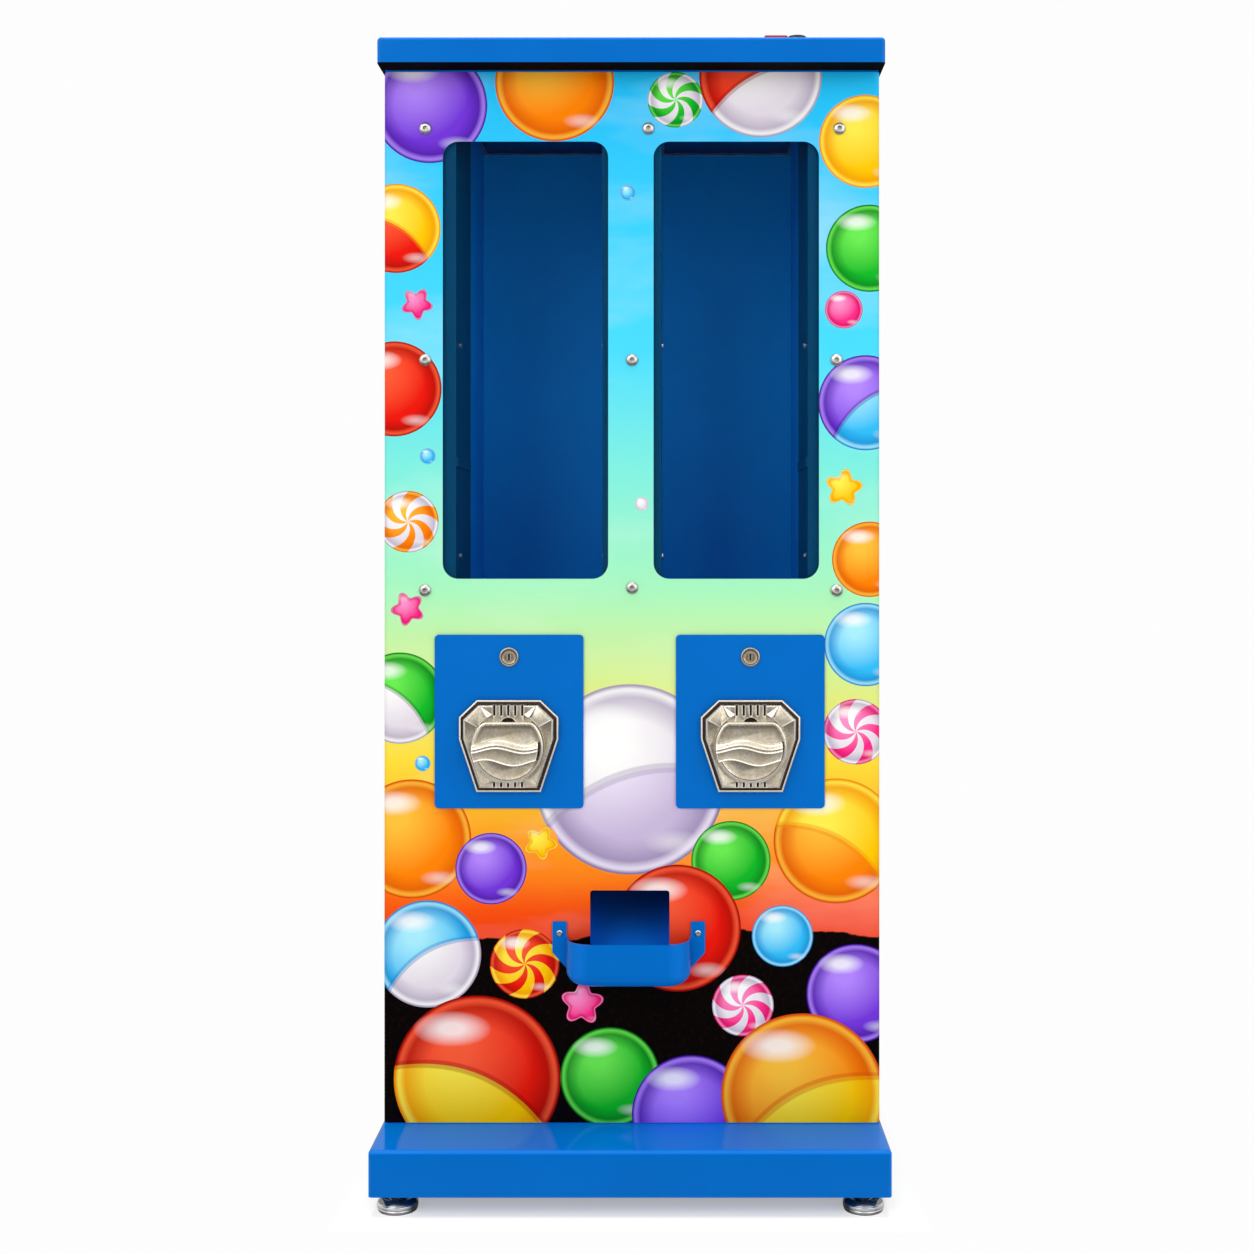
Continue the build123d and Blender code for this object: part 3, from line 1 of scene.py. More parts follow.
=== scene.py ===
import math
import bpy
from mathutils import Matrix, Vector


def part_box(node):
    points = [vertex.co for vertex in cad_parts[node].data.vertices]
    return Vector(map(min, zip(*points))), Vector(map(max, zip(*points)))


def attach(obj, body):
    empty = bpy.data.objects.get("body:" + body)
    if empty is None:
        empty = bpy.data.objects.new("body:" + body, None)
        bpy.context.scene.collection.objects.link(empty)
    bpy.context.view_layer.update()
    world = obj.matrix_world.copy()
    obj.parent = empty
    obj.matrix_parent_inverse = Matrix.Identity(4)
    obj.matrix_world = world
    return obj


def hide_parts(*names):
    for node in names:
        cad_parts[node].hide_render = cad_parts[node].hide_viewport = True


bl_info = {
    "name": "Capsule Machine Dress",
    "version": (1, 0, 0),
    "blender": (4, 5, 0),
    "location": "View3D > Sidebar > Capsules",
    "description": "Dresses a packed capsule machine with castings, locks, screws, print and studio",
    "category": "Object",
}

from functools import partial

import bmesh
import bpy

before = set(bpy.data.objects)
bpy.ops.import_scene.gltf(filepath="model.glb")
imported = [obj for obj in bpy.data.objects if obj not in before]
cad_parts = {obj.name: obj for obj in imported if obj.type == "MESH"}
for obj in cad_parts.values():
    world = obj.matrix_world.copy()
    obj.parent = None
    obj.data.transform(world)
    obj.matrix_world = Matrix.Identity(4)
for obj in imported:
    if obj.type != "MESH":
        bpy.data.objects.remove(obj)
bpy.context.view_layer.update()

MM = 0.001
SIDES = ("left", "right")
CORNERS = ("front_left", "front_right", "rear_left", "rear_right")


def linear(code):
    """A linear colour from a written hex code."""
    parts = [int(code[i : i + 2], 16) / 255 for i in (1, 3, 5)]
    return tuple(v / 12.92 if v <= 0.04045 else ((v + 0.055) / 1.055) ** 2.4 for v in parts) + (1.0,)


def toned(colour, factor, lift=0.0):
    """A colour made darker or lighter, with nothing past white."""
    return tuple(min(1.0, v * factor + lift) for v in colour[:3]) + (1.0,)


def box_mm(node):
    """The lowest and highest corners of a CAD node in millimetres."""
    return [[v / MM for v in corner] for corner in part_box(node)]


def centre_mm(node):
    """The middle of a CAD node's box in millimetres."""
    return [(low + high) / 2 for low, high in zip(*box_mm(node))]


# ---- numbers and colours that a user would change


def shade(name, description, code):
    return bpy.props.FloatVectorProperty(
        name=name, description=description, subtype="COLOR", size=4, min=0, max=1, default=linear(code)
    )


def length(name, description, value):
    return bpy.props.FloatProperty(name=name, description=description, unit="LENGTH", default=value * MM)


class CapsulePaints(bpy.types.PropertyGroup):
    """Colours of the machine's finishes"""

    blue: shade("Blue paint", "Powder coat of the cabinet, base and lid", "#006CC9")
    # painted light: a lighter copy of the blue paint, for the columns' inside where little light reaches
    inner_blue: shade("Inner blue", "Thinner coat inside the columns", "#00A0F4")
    zinc: shade("Cast zinc", "Bare casting of the coin mechanisms", "#D2CABA")
    # this dark colour stands for soiling, and for painted shade in the castings' corners, creases and
    # groove floors
    grime_and_shade: shade("Grime", "Dark dirt in the castings' corners", "#44301F")
    steel: shade("Steel", "Screws and feet", "#C9C9CC")
    brass: shade("Brass", "Drive pinions", "#B8955A")
    ground: shade("Dark ground", "Dark hills at the foot of the print", "#060404")
    red: shade("Red rubber", "Cap of the lid lock", "#C01818")


class CapsuleSizes(bpy.types.PropertyGroup):
    """Sizes of the modelled pieces"""

    bezel_rim: length("Bezel rim", "Thickness of the bezel's bevelled rim", 5)
    knob_rim: length("Knob rim", "Width of the raised rim round the knob", 2.2)
    grip_height: length("Grip height", "How far the wavy grip stands out of the knob", 14)
    screw_radius: length("Screw head", "Radius of the button heads on the front", 6.3)


def paint(key):
    """A colour of the panel."""
    return tuple(getattr(bpy.context.scene.capsule_paints, key))


def size(key):
    """A size of the panel in millimetres."""
    return getattr(bpy.context.scene.capsule_sizes, key) / MM


# ---- shader arithmetic


class Wire:
    """A socket of a material, with arithmetic that adds Math nodes"""

    def __init__(self, finish, socket):
        self.finish = finish
        self.socket = socket

    def math(self, operation, *others, clamp=False):
        values = {f"i{k}": v for k, v in enumerate((self, *others))}
        return self.finish.add("Math", {"operation": operation, "use_clamp": clamp}, **values)

    def __add__(self, other):
        return self.math("ADD", other)

    __radd__ = __add__

    def __sub__(self, other):
        return self.math("SUBTRACT", other)

    def __rsub__(self, other):
        return self.finish.add("Math", {"operation": "SUBTRACT"}, i0=other, i1=self)

    def __mul__(self, other):
        return self.math("MULTIPLY", other)

    __rmul__ = __mul__

    def __truediv__(self, other):
        return self.math("DIVIDE", other)

    def __rtruediv__(self, other):
        return self.finish.add("Math", {"operation": "DIVIDE"}, i0=other, i1=self)

    def clamped(self):
        return self.math("ADD", 0.0, clamp=True)


class Finish:
    """A node material, or the world, that is built up in code"""

    def __init__(self, name, world=False):
        self.material = (bpy.data.worlds if world else bpy.data.materials).new(name)
        self.material.use_nodes = True
        self.nodes = self.material.node_tree.nodes
        self.links = self.material.node_tree.links
        self.nodes.clear()
        self.output = self.nodes.new("ShaderNodeOutputWorld" if world else "ShaderNodeOutputMaterial")
        self.place = None if world else self.add("TexCoord", out="Object")

    def add(self, kind, settings=None, out=0, **sockets):
        """Adds a node, sets its settings first, then the values or links of its sockets.

        A socket is named with _ for each space, or numbered: i0 is the first.
        """
        node = self.nodes.new("ShaderNode" + kind)
        for key, value in (settings or {}).items():
            if key == "stops":
                ramp = node.color_ramp
                while len(ramp.elements) < len(value):
                    ramp.elements.new(1.0)
                for element, (position, colour) in zip(ramp.elements, value):
                    element.position = position
                    element.color = colour
            elif key == "interpolation":
                node.color_ramp.interpolation = value
            else:
                setattr(node, key, value)
        for key, value in sockets.items():
            numbered = key[0] == "i" and key[1:].isdigit()
            socket = node.inputs[int(key[1:]) if numbered else key.replace("_", " ")]
            if isinstance(value, Wire):
                self.links.new(value.socket, socket)
            else:
                socket.default_value = value
        return Wire(self, node.outputs[out])

    def axes(self, vector):
        """The three numbers of a vector."""
        return [self.add("SeparateXYZ", out=k, Vector=vector) for k in range(3)]

    def noise(self, scale, detail=2.0, roughness=0.5):
        """Noise over the piece. Three scales draw it out differently along each axis."""
        place = self.place
        if isinstance(scale, tuple):
            place, scale = self.vector("MULTIPLY", place, scale), 1.0
        return self.add("TexNoise", Vector=place, Scale=scale, Detail=detail, Roughness=roughness)

    def remap(self, value, low, high, to_low=0.0, to_high=1.0):
        return self.add("MapRange", i0=value, i1=low, i2=high, i3=to_low, i4=to_high)

    def mix(self, factor, first, second):
        return self.add("Mix", {"data_type": "RGBA"}, out=2, i0=factor, i6=first, i7=second)

    def vector(self, operation, first, second=None, out=0):
        sockets = {"i0": first}
        if second is not None:
            sockets["i1"] = second
        return self.add("VectorMath", {"operation": operation}, out=out, **sockets)

    def bump(self, height, distance, strength):
        return self.add("Bump", Height=height, Distance=distance, Strength=strength)

    def ends_in(self, shader):
        """Ends the material in a shader."""
        self.links.new(shader.socket, self.output.inputs["Surface"])
        return self.material

    def surface(self, **sockets):
        """Ends the material in one Principled shader."""
        return self.ends_in(self.add("BsdfPrincipled", **sockets))


# Colours of wear, and of painted shade and painted highlight
UNDER_LID_SHADE = (0.002, 0.002, 0.004, 1)
RUBBED_AND_HIGHLIT_ZINC = (0.95, 0.91, 0.84, 1)
SHADED_STEEL = ((0.1, 0.11, 0.11, 1), (0.24, 0.25, 0.25, 1))


def powder_coat(name, colour, gloss=0.09, shaded_below=None, top_highlight=0.0):
    """Smooth sheet paint with a fine orange peel, faint clouding and a few scuffed scratches.

    Below a given height the sheet is painted near-black, a painted shade as under a lid. Upward faces
    can be painted lighter on top, a painted highlight.
    """
    f = Finish(name)
    peel = f.noise(420, 3, 0.55)
    cloud = f.noise(9, 3, 0.6)
    dust = f.noise(2600, 2, 0.7)
    streak = f.noise((140, 140, 6), 4, 0.65)
    scratch = f.remap(streak, 0.69, 0.74)
    base = f.mix(f.remap(cloud, 0.3, 0.7, 0.0, 0.35), colour, toned(colour, 0.82))
    light = toned(colour, 1.15, 0.004)
    base = f.mix(f.remap(dust, 0.66, 0.8, 0.0, 0.22), base, light)
    base = f.mix(scratch * 0.12, base, light)
    # painted highlight: the bends are painted lighter, as if they caught the light, where their faces
    # look neither straight out nor straight up
    aside, back, upward = f.axes(f.add("TexCoord", out="Normal"))
    side_highlight = f.remap((aside * back).math("ABSOLUTE"), 0.12, 0.45, 0.0, 0.5)
    fold_highlight = f.remap(back * upward, -0.08, -0.42) + side_highlight
    base = f.mix(fold_highlight * 0.7, base, toned(colour, 1.5, 0.01))
    # painted highlight: upward faces are painted lighter, as if lit from above
    if top_highlight:
        ledge_highlight = f.remap(upward, 0.9, 0.99, 0.0, top_highlight)
        base = f.mix(ledge_highlight, base, toned(colour, 1.4))
    # painted shade: below the given height, the lid's lowest faces are painted near-black, as in the
    # shade under it
    under_shade = 0.0
    if shaded_below is not None:
        under_shade = f.remap(f.axes(f.place)[2], shaded_below + 0.0006, shaded_below + 0.0002)
        base = f.mix(under_shade, base, UNDER_LID_SHADE)
    rough = f.remap(cloud, 0.2, 0.8, gloss - 0.04, gloss + 0.08) + scratch * 0.1 + under_shade
    normal = f.bump(peel, 0.00005, 0.5)
    return f.surface(Base_Color=base, Roughness=rough, Normal=normal, Specular_IOR_Level=0.05)


def cast_metal(name, colour, shelter=0.7, deep=None, polish=0.85):
    """Bare zinc casting: a grainy skin, small pits, bright scuffed edges with a painted highlight, and
    soiling with painted shade in the corners.

    The higher shelter is, the further the soiling and painted shade spread from the corners. Whatever
    lies behind the plane y = deep, such as the floor of a groove, is painted dark, as soiling and
    painted shade, and polish says how bright the edges are painted, as scuffing and painted highlight.
    """
    f = Finish(name)
    grime_and_shade = paint("grime_and_shade")
    grain = f.noise(900, 4, 0.65)
    blotch = f.noise(95, 4, 0.6)
    pits = f.add("TexVoronoi", {"feature": "F1"}, Vector=f.place, Scale=520)
    pit = f.remap(pits, 0.16, 0.05)
    around = {"samples": 8, "only_local": True}
    # soiling and painted shade: castings are painted darker where they are sheltered, in corners and
    # creases
    sheltered = f.add("AmbientOcclusion", around, out=1, Distance=0.006)
    dirt_and_shade = f.remap(sheltered, 0.26, shelter, 1.0, 0.0)
    # wear and painted highlight: edges are painted light and less metallic, as scuffed bright and
    # catching the light
    inward = f.add("AmbientOcclusion", {**around, "inside": True}, out=1, Distance=0.002)
    worn_and_highlit = f.remap(inward, 0.93, 0.62, 0.0, polish)
    warm = (colour[0] * 0.78, colour[1] * 0.73, colour[2] * 0.64, 1)
    base = f.mix(f.remap(blotch, 0.35, 0.68), colour, warm)
    mottle = f.noise(300, 4, 0.7)
    base = f.mix(f.remap(mottle, 0.44, 0.7, 0.0, 0.45), base, toned(warm, 0.45))
    base = f.mix((dirt_and_shade * f.remap(grain, 0.2, 0.7, 0.7, 1.2)).clamped(), base, grime_and_shade)
    base = f.mix(pit * 0.5, base, grime_and_shade)
    base = f.mix(f.remap(grain, 0.58, 0.72, 0.0, 0.35), base, grime_and_shade)
    base = f.mix(worn_and_highlit, base, RUBBED_AND_HIGHLIT_ZINC)
    # soiling and painted shade: whatever lies behind the plane y = deep is painted dark
    if deep is not None:
        sunk = f.remap(f.axes(f.place)[1], deep - 0.0006, deep)
        base = f.mix(sunk * 0.94, base, grime_and_shade)
        worn_and_highlit = worn_and_highlit * (1.0 - sunk)
        dirt_and_shade = dirt_and_shade.math("MAXIMUM", sunk)
    rough = f.remap(blotch, 0.25, 0.75, 0.2, 0.36) + dirt_and_shade * 0.3 * (1.0 - worn_and_highlit)
    height = grain * 0.6 - pit * 0.8 + blotch * 0.5
    normal = f.bump(height, 0.0002, 0.7)
    metal = 1.0 - (dirt_and_shade * (1.0 - worn_and_highlit)).math("MAXIMUM", worn_and_highlit) * 0.55
    return f.surface(Base_Color=base, Roughness=rough, Metallic=metal, Normal=normal)


def bright_metal(name, colour, rough=0.16, grain_scale=700):
    """Bright steel with a fine grain, small handling marks and a little tarnish."""
    f = Finish(name)
    grain = f.noise(grain_scale, 4, 0.6)
    tarnish = f.noise(60, 3, 0.6)
    base = f.mix(f.remap(tarnish, 0.45, 0.75, 0.0, 0.5), colour, toned(colour, 0.55))
    polish = f.remap(grain, 0.3, 0.7, rough - 0.05, rough + 0.08)
    normal = f.bump(grain, 0.00004, 0.4)
    return f.surface(Base_Color=base, Roughness=polish, Metallic=1.0, Normal=normal)


def turned_steel(name, colour, shaded_above):
    """Turned steel with fine rings, and a top above a given height painted darker, a painted shade under
    the base.
    """
    f = Finish(name)
    level = f.axes(f.place)[2]
    ring = (level * 9000).math("SINE")
    film = f.noise(90, 3, 0.6)
    # painted shade: above the given height the top is painted dark steel
    dull = f.remap(level, shaded_above, shaded_above + 0.0012)
    bright = f.mix(f.remap(film, 0.4, 0.75, 0.0, 0.4), colour, toned(colour, 0.6))
    dark = f.mix(film, *SHADED_STEEL)
    base = f.mix(dull, bright, dark)
    rough = f.remap(film, 0.3, 0.7, 0.14, 0.26) + ring * 0.02
    normal = f.bump(ring * 0.5 + film, 0.00003, 0.4)
    return f.surface(Base_Color=base, Roughness=rough, Metallic=1.0, Normal=normal)


def zinc_sheet(name, colour):
    """Galvanised sheet with its spangle."""
    f = Finish(name)
    flakes = f.add("TexVoronoi", {"feature": "F1"}, out=1, Vector=f.place, Scale=110)
    flake = f.axes(flakes)[0]
    dull = f.noise(30, 4, 0.6)
    base = f.mix(flake, colour, toned(colour, 1.25))
    rough = f.remap(flake, 0, 1, 0.28, 0.45) + f.remap(dull, 0.4, 0.7, 0.0, 0.12)
    normal = f.bump(f.noise(600, 3), 0.00004, 0.4)
    return f.surface(Base_Color=base, Roughness=rough, Metallic=0.9, Normal=normal)


def moulded(name, colour, rough):
    """Moulded plastic with a fine grain and slight flow marks."""
    f = Finish(name)
    grain = f.noise(1400, 2, 0.5)
    flow = f.noise((14, 14, 60), 3, 0.6)
    base = f.mix(f.remap(flow, 0.35, 0.7, 0.0, 0.6), colour, toned(colour, 0.8))
    polish = f.remap(flow, 0.3, 0.7, rough - 0.06, rough + 0.08)
    return f.surface(Base_Color=base, Roughness=polish, Normal=f.bump(grain, 0.00006, 0.5))


def clear_sheet(name):
    """Clear plastic sheet with faint wiping marks."""
    f = Finish(name)
    haze = f.noise((30, 30, 8), 4, 0.6)
    facing = f.add("LayerWeight", out=1, Blend=0.35)
    alpha = f.remap(facing, 0.3, 1.0, 0.02, 0.5) + f.remap(haze, 0.5, 0.8, 0.0, 0.01)
    tint = f.mix(haze, (0.002, 0.02, 0.05, 1), (0.01, 0.04, 0.08, 1))
    rough = f.remap(haze, 0.3, 0.8, 0.02, 0.1)
    return f.surface(Base_Color=tint, Roughness=rough, Alpha=alpha, Specular_IOR_Level=0.5)


# ---- modelling helpers


def alone(piece):
    """Leaves one object selected and active."""
    bpy.ops.object.select_all(action="DESELECT")
    piece.select_set(True)
    bpy.context.view_layer.objects.active = piece


class Shape:
    """One mesh that starts as a primitive and is worked on in edit mode"""

    def __init__(self, name, add, place, scale=(1, 1, 1), turn=(0, 0, 0), **settings):
        bpy.ops.object.select_all(action="DESELECT")
        add(location=place, rotation=turn, **settings)
        self.piece = bpy.context.active_object
        self.piece.name = name
        self.piece.data.name = name
        self.piece.scale = scale
        bpy.ops.object.transform_apply(location=True, rotation=True, scale=True)
        bpy.ops.object.mode_set(mode="EDIT")
        bpy.ops.mesh.select_all(action="SELECT")

    def select(self, kind, test):
        """Selects the faces, edges or vertices that pass a test, and nothing else."""
        bpy.ops.mesh.select_mode(type=kind)
        mesh = bmesh.from_edit_mesh(self.piece.data)
        for part in {"FACE": mesh.faces, "EDGE": mesh.edges, "VERT": mesh.verts}[kind]:
            part.select_set(bool(test(part)))
        mesh.select_flush_mode()
        bmesh.update_edit_mesh(self.piece.data)
        return self

    def faces(self, test):
        """Selects the faces whose middle and normal pass a test."""
        return self.select("FACE", lambda face: test(face.calc_center_median(), face.normal))

    def points(self, test):
        """Selects the vertices whose place passes a test."""
        return self.select("VERT", lambda point: test(point.co))

    def edges(self, test):
        """Selects the edges whose two ends pass a test."""
        return self.select("EDGE", lambda edge: test(edge.verts[0].co, edge.verts[1].co))

    def inset(self, *steps):
        """Insets the selected face again and again, each time by a width and a rise in millimetres."""
        for width, rise in steps:
            bpy.ops.mesh.inset(thickness=width * MM, depth=rise * MM, use_even_offset=True)
        return self

    def move(self, shift):
        bpy.ops.transform.translate(value=shift)
        return self

    def extrude(self, shift):
        bpy.ops.mesh.extrude_region_move(TRANSFORM_OT_translate={"value": shift})
        return self

    def resize(self, scale, middle):
        bpy.ops.transform.resize(value=scale, center_override=middle)
        return self

    def bevel(self, width, segments):
        bpy.ops.mesh.bevel(offset=width, segments=segments, affect="EDGES")
        return self

    def cut(self, point, normal):
        """Cuts everything away on the side that the normal points to, and closes the cut."""
        reach = math.hypot(*normal)
        way = [part / reach for part in normal]
        bpy.ops.mesh.select_all(action="SELECT")
        bpy.ops.mesh.bisect(plane_co=point, plane_no=way, use_fill=True, clear_outer=True)
        return self

    def done(self):
        """Leaves edit mode with clean faces that point outwards."""
        bpy.ops.mesh.select_all(action="SELECT")
        bpy.ops.mesh.remove_doubles(threshold=0.00001)
        bpy.ops.mesh.normals_make_consistent(inside=False)
        bpy.ops.object.mode_set(mode="OBJECT")
        return self.piece


def modify(piece, kind, **settings):
    """Adds a modifier and applies it."""
    alone(piece)
    modifier = piece.modifiers.new(kind.title(), kind)
    for key, value in settings.items():
        setattr(modifier, key, value)
    bpy.ops.object.modifier_apply(modifier=modifier.name)
    return piece


def carve(piece, tool, operation="DIFFERENCE"):
    """Cuts one piece with another, or adds it, and takes the tool away."""
    modify(piece, "BOOLEAN", operation=operation, object=tool, solver="EXACT")
    bpy.data.objects.remove(tool, do_unlink=True)
    return piece


def merge(pieces):
    """Joins pieces into the first one."""
    bpy.ops.object.select_all(action="DESELECT")
    for piece in pieces:
        piece.select_set(True)
    bpy.context.view_layer.objects.active = pieces[0]
    bpy.ops.object.join()
    return pieces[0]


def soften(piece, width, segments, angle):
    """Rounds the hard edges and smooths the shading."""
    settings = {"limit_method": "ANGLE", "angle_limit": math.radians(angle)}
    modify(piece, "BEVEL", width=width, segments=segments, **settings)
    alone(piece)
    bpy.ops.object.shade_smooth_by_angle(angle=math.radians(40))
    return piece


def copied(piece, name, shift):
    """A copy with its own mesh, moved in its mesh."""
    alone(piece)
    bpy.ops.object.duplicate(linked=False)
    twin = bpy.context.active_object
    twin.name = name
    twin.data.name = name
    twin.location = shift
    bpy.ops.object.transform_apply(location=True, rotation=False, scale=False)
    return twin


def dress(piece, material, body, node):
    """Gives a piece its finish and its body, and lets it stand for a CAD node."""
    piece.data.materials.clear()
    piece.data.materials.append(material)
    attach(piece, body)
    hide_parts(node)


def dress_pair(piece, name, material, body, node):
    """Dresses a left piece, and a copy of it in the place of the right node."""
    (left, _, _), (right, _, _) = (centre_mm(f"{node}_{side}") for side in SIDES)
    twin = copied(piece, f"{name}_right", ((right - left) * MM, 0, 0))
    piece.name = f"{name}_left"
    for side, each in zip(SIDES, (piece, twin)):
        dress(each, material, f"{body}_{side}", f"{node}_{side}")


def cube(name, low, high):
    """A box between two corners in millimetres."""
    middle = [(a + b) / 2 * MM for a, b in zip(low, high)]
    spans = [(b - a) * MM for a, b in zip(low, high)]
    return Shape(name, bpy.ops.mesh.primitive_cube_add, middle, scale=spans, size=1)


def disc(name, x, z, y_front, y_back, radius, sides=96):
    """A round block that faces the front, in millimetres."""
    return Shape(
        name,
        bpy.ops.mesh.primitive_cylinder_add,
        (x * MM, (y_front + y_back) / 2 * MM, z * MM),
        turn=(math.pi / 2, 0, 0),
        vertices=sides,
        radius=radius * MM,
        depth=(y_back - y_front) * MM,
    )


# ---- the print on the front: a sunset sky, dark hills, and glossy sweets and toy capsules

SKY = (
    (0.0, "#C81E00"),
    (0.15, "#E83A04"),
    (0.2, "#FF5A10"),
    (0.27, "#FFA020"),
    (0.345, "#FFDE3C"),
    (0.42, "#D8F090"),
    (0.505, "#A8F5C0"),
    (0.62, "#80EFE0"),
    (0.735, "#4ADCFF"),
    (1.0, "#20C2FF"),
)
PRINT_LOW, PRINT_HIGH = 65 * MM, 1128 * MM

# kind, x and height of the middle, radius (mm), colour, and if need be second colour and turn
# (degrees). A later motif lies over an earlier one.
MOTIFS = (
    ("ball", -204, 1092, 58, "violet"),
    ("ball", -78, 1116, 60, "orange"),
    ("swirl", 44, 1098, 28, "green", "pearl", 20),
    ("capsule", 130, 1122, 62, "red", "pearl", -24),
    ("ball", 236, 1056, 47, "yellow"),
    ("capsule", -238, 968, 45, "yellow", "red", 30),
    ("star", -217, 892, 17, "pink", "pink", 12),
    ("ball", -240, 806, 48, "red"),
    ("ball", -206, 738, 8, "cyan"),
    ("swirl", -226, 672, 31, "orange", "pearl", 30),
    ("ball", 240, 948, 44, "green"),
    ("ball", 214, 886, 19, "pink"),
    ("capsule", 236, 792, 48, "violet", "cyan", -35),
    ("star", 214, 706, 20, "yellow", "yellow", -10),
    ("ball", 240, 634, 38, "orange"),
    ("ball", -4, 1004, 8, "cyan"),
    ("ball", 10, 690, 7, "pearl"),
    ("star", -226, 584, 18, "pink", "pink", 30),
    ("capsule", -234, 494, 46, "green", "pearl", 38),
    ("ball", -211, 428, 8, "cyan"),
    ("ball", 236, 548, 42, "cyan"),
    ("swirl", 226, 460, 33, "pink", "pearl", 0),
    ("capsule", -2, 412, 96, "pearl", "lilac", -16),
    ("ball", -222, 352, 60, "orange"),
    ("ball", -142, 322, 36, "violet"),
    ("star", -92, 348, 18, "yellow", "yellow", 8),
    ("ball", 100, 330, 40, "green"),
    ("capsule", 206, 350, 63, "yellow", "orange", 28),
    ("ball", 46, 262, 64, "red"),
    ("ball", 152, 254, 31, "cyan"),
    ("capsule", -206, 236, 54, "cyan", "pearl", -30),
    ("swirl", -108, 226, 35, "yellow", "red", 25),
    ("ball", 226, 196, 50, "violet"),
    ("capsule", -156, 110, 84, "red", "yellow", 22),
    ("star", -50, 186, 23, "pink", "pink", -14),
    ("ball", -22, 112, 50, "green"),
    ("swirl", 112, 184, 31, "pink", "pearl", 10),
    ("ball", 60, 74, 60, "violet"),
    ("capsule", 172, 94, 82, "orange", "yellow", -26),
)
KINDS = ("ball", "capsule", "swirl", "star")
# a motif's number holds its turn as a share of this span, in degrees
TURN_SPAN = 200

# light, middle and deep tone of each printed colour
TONES = {
    "red": ("#FF5C38", "#EC1608", "#A00600"),
    "orange": ("#FFC23C", "#FF8400", "#D84E00"),
    "yellow": ("#FFEE50", "#FFC800", "#F08C00"),
    "green": ("#6CEC54", "#0EB828", "#047018"),
    "violet": ("#B488FF", "#7436DC", "#3E1098"),
    "pink": ("#FF92CC", "#FF2C8C", "#C00852"),
    "cyan": ("#A8EEFF", "#30BCF8", "#0A7ECC"),
    "pearl": ("#FFFFFF", "#E4DCE8", "#A89CB8"),
    "lilac": ("#F4ECFF", "#C8B8DC", "#8C7CA8"),
}


def tone_table(f, index, level):
    """The light, middle or deep tone whose number in the list of colours is given."""
    names = list(TONES)
    stops = [(k / len(names), linear(TONES[name][level])) for k, name in enumerate(names)]
    settings = {"interpolation": "CONSTANT", "stops": stops}
    return f.add("ValToRGB", settings, Fac=(index + 0.5) / len(names))


def glossy_tone(f, index, distance, lit, edge):
    """Body colour of a clear glossy sweet: light above left, deep near the edge, a lit rim."""
    light, middle, deep = (tone_table(f, index, level) for level in range(3))
    body = f.mix(f.remap(lit, 0.1, 0.62), light, middle)
    body = f.mix(f.remap(distance, 0.62, 0.98), body, deep)
    return f.mix(edge, body, light)


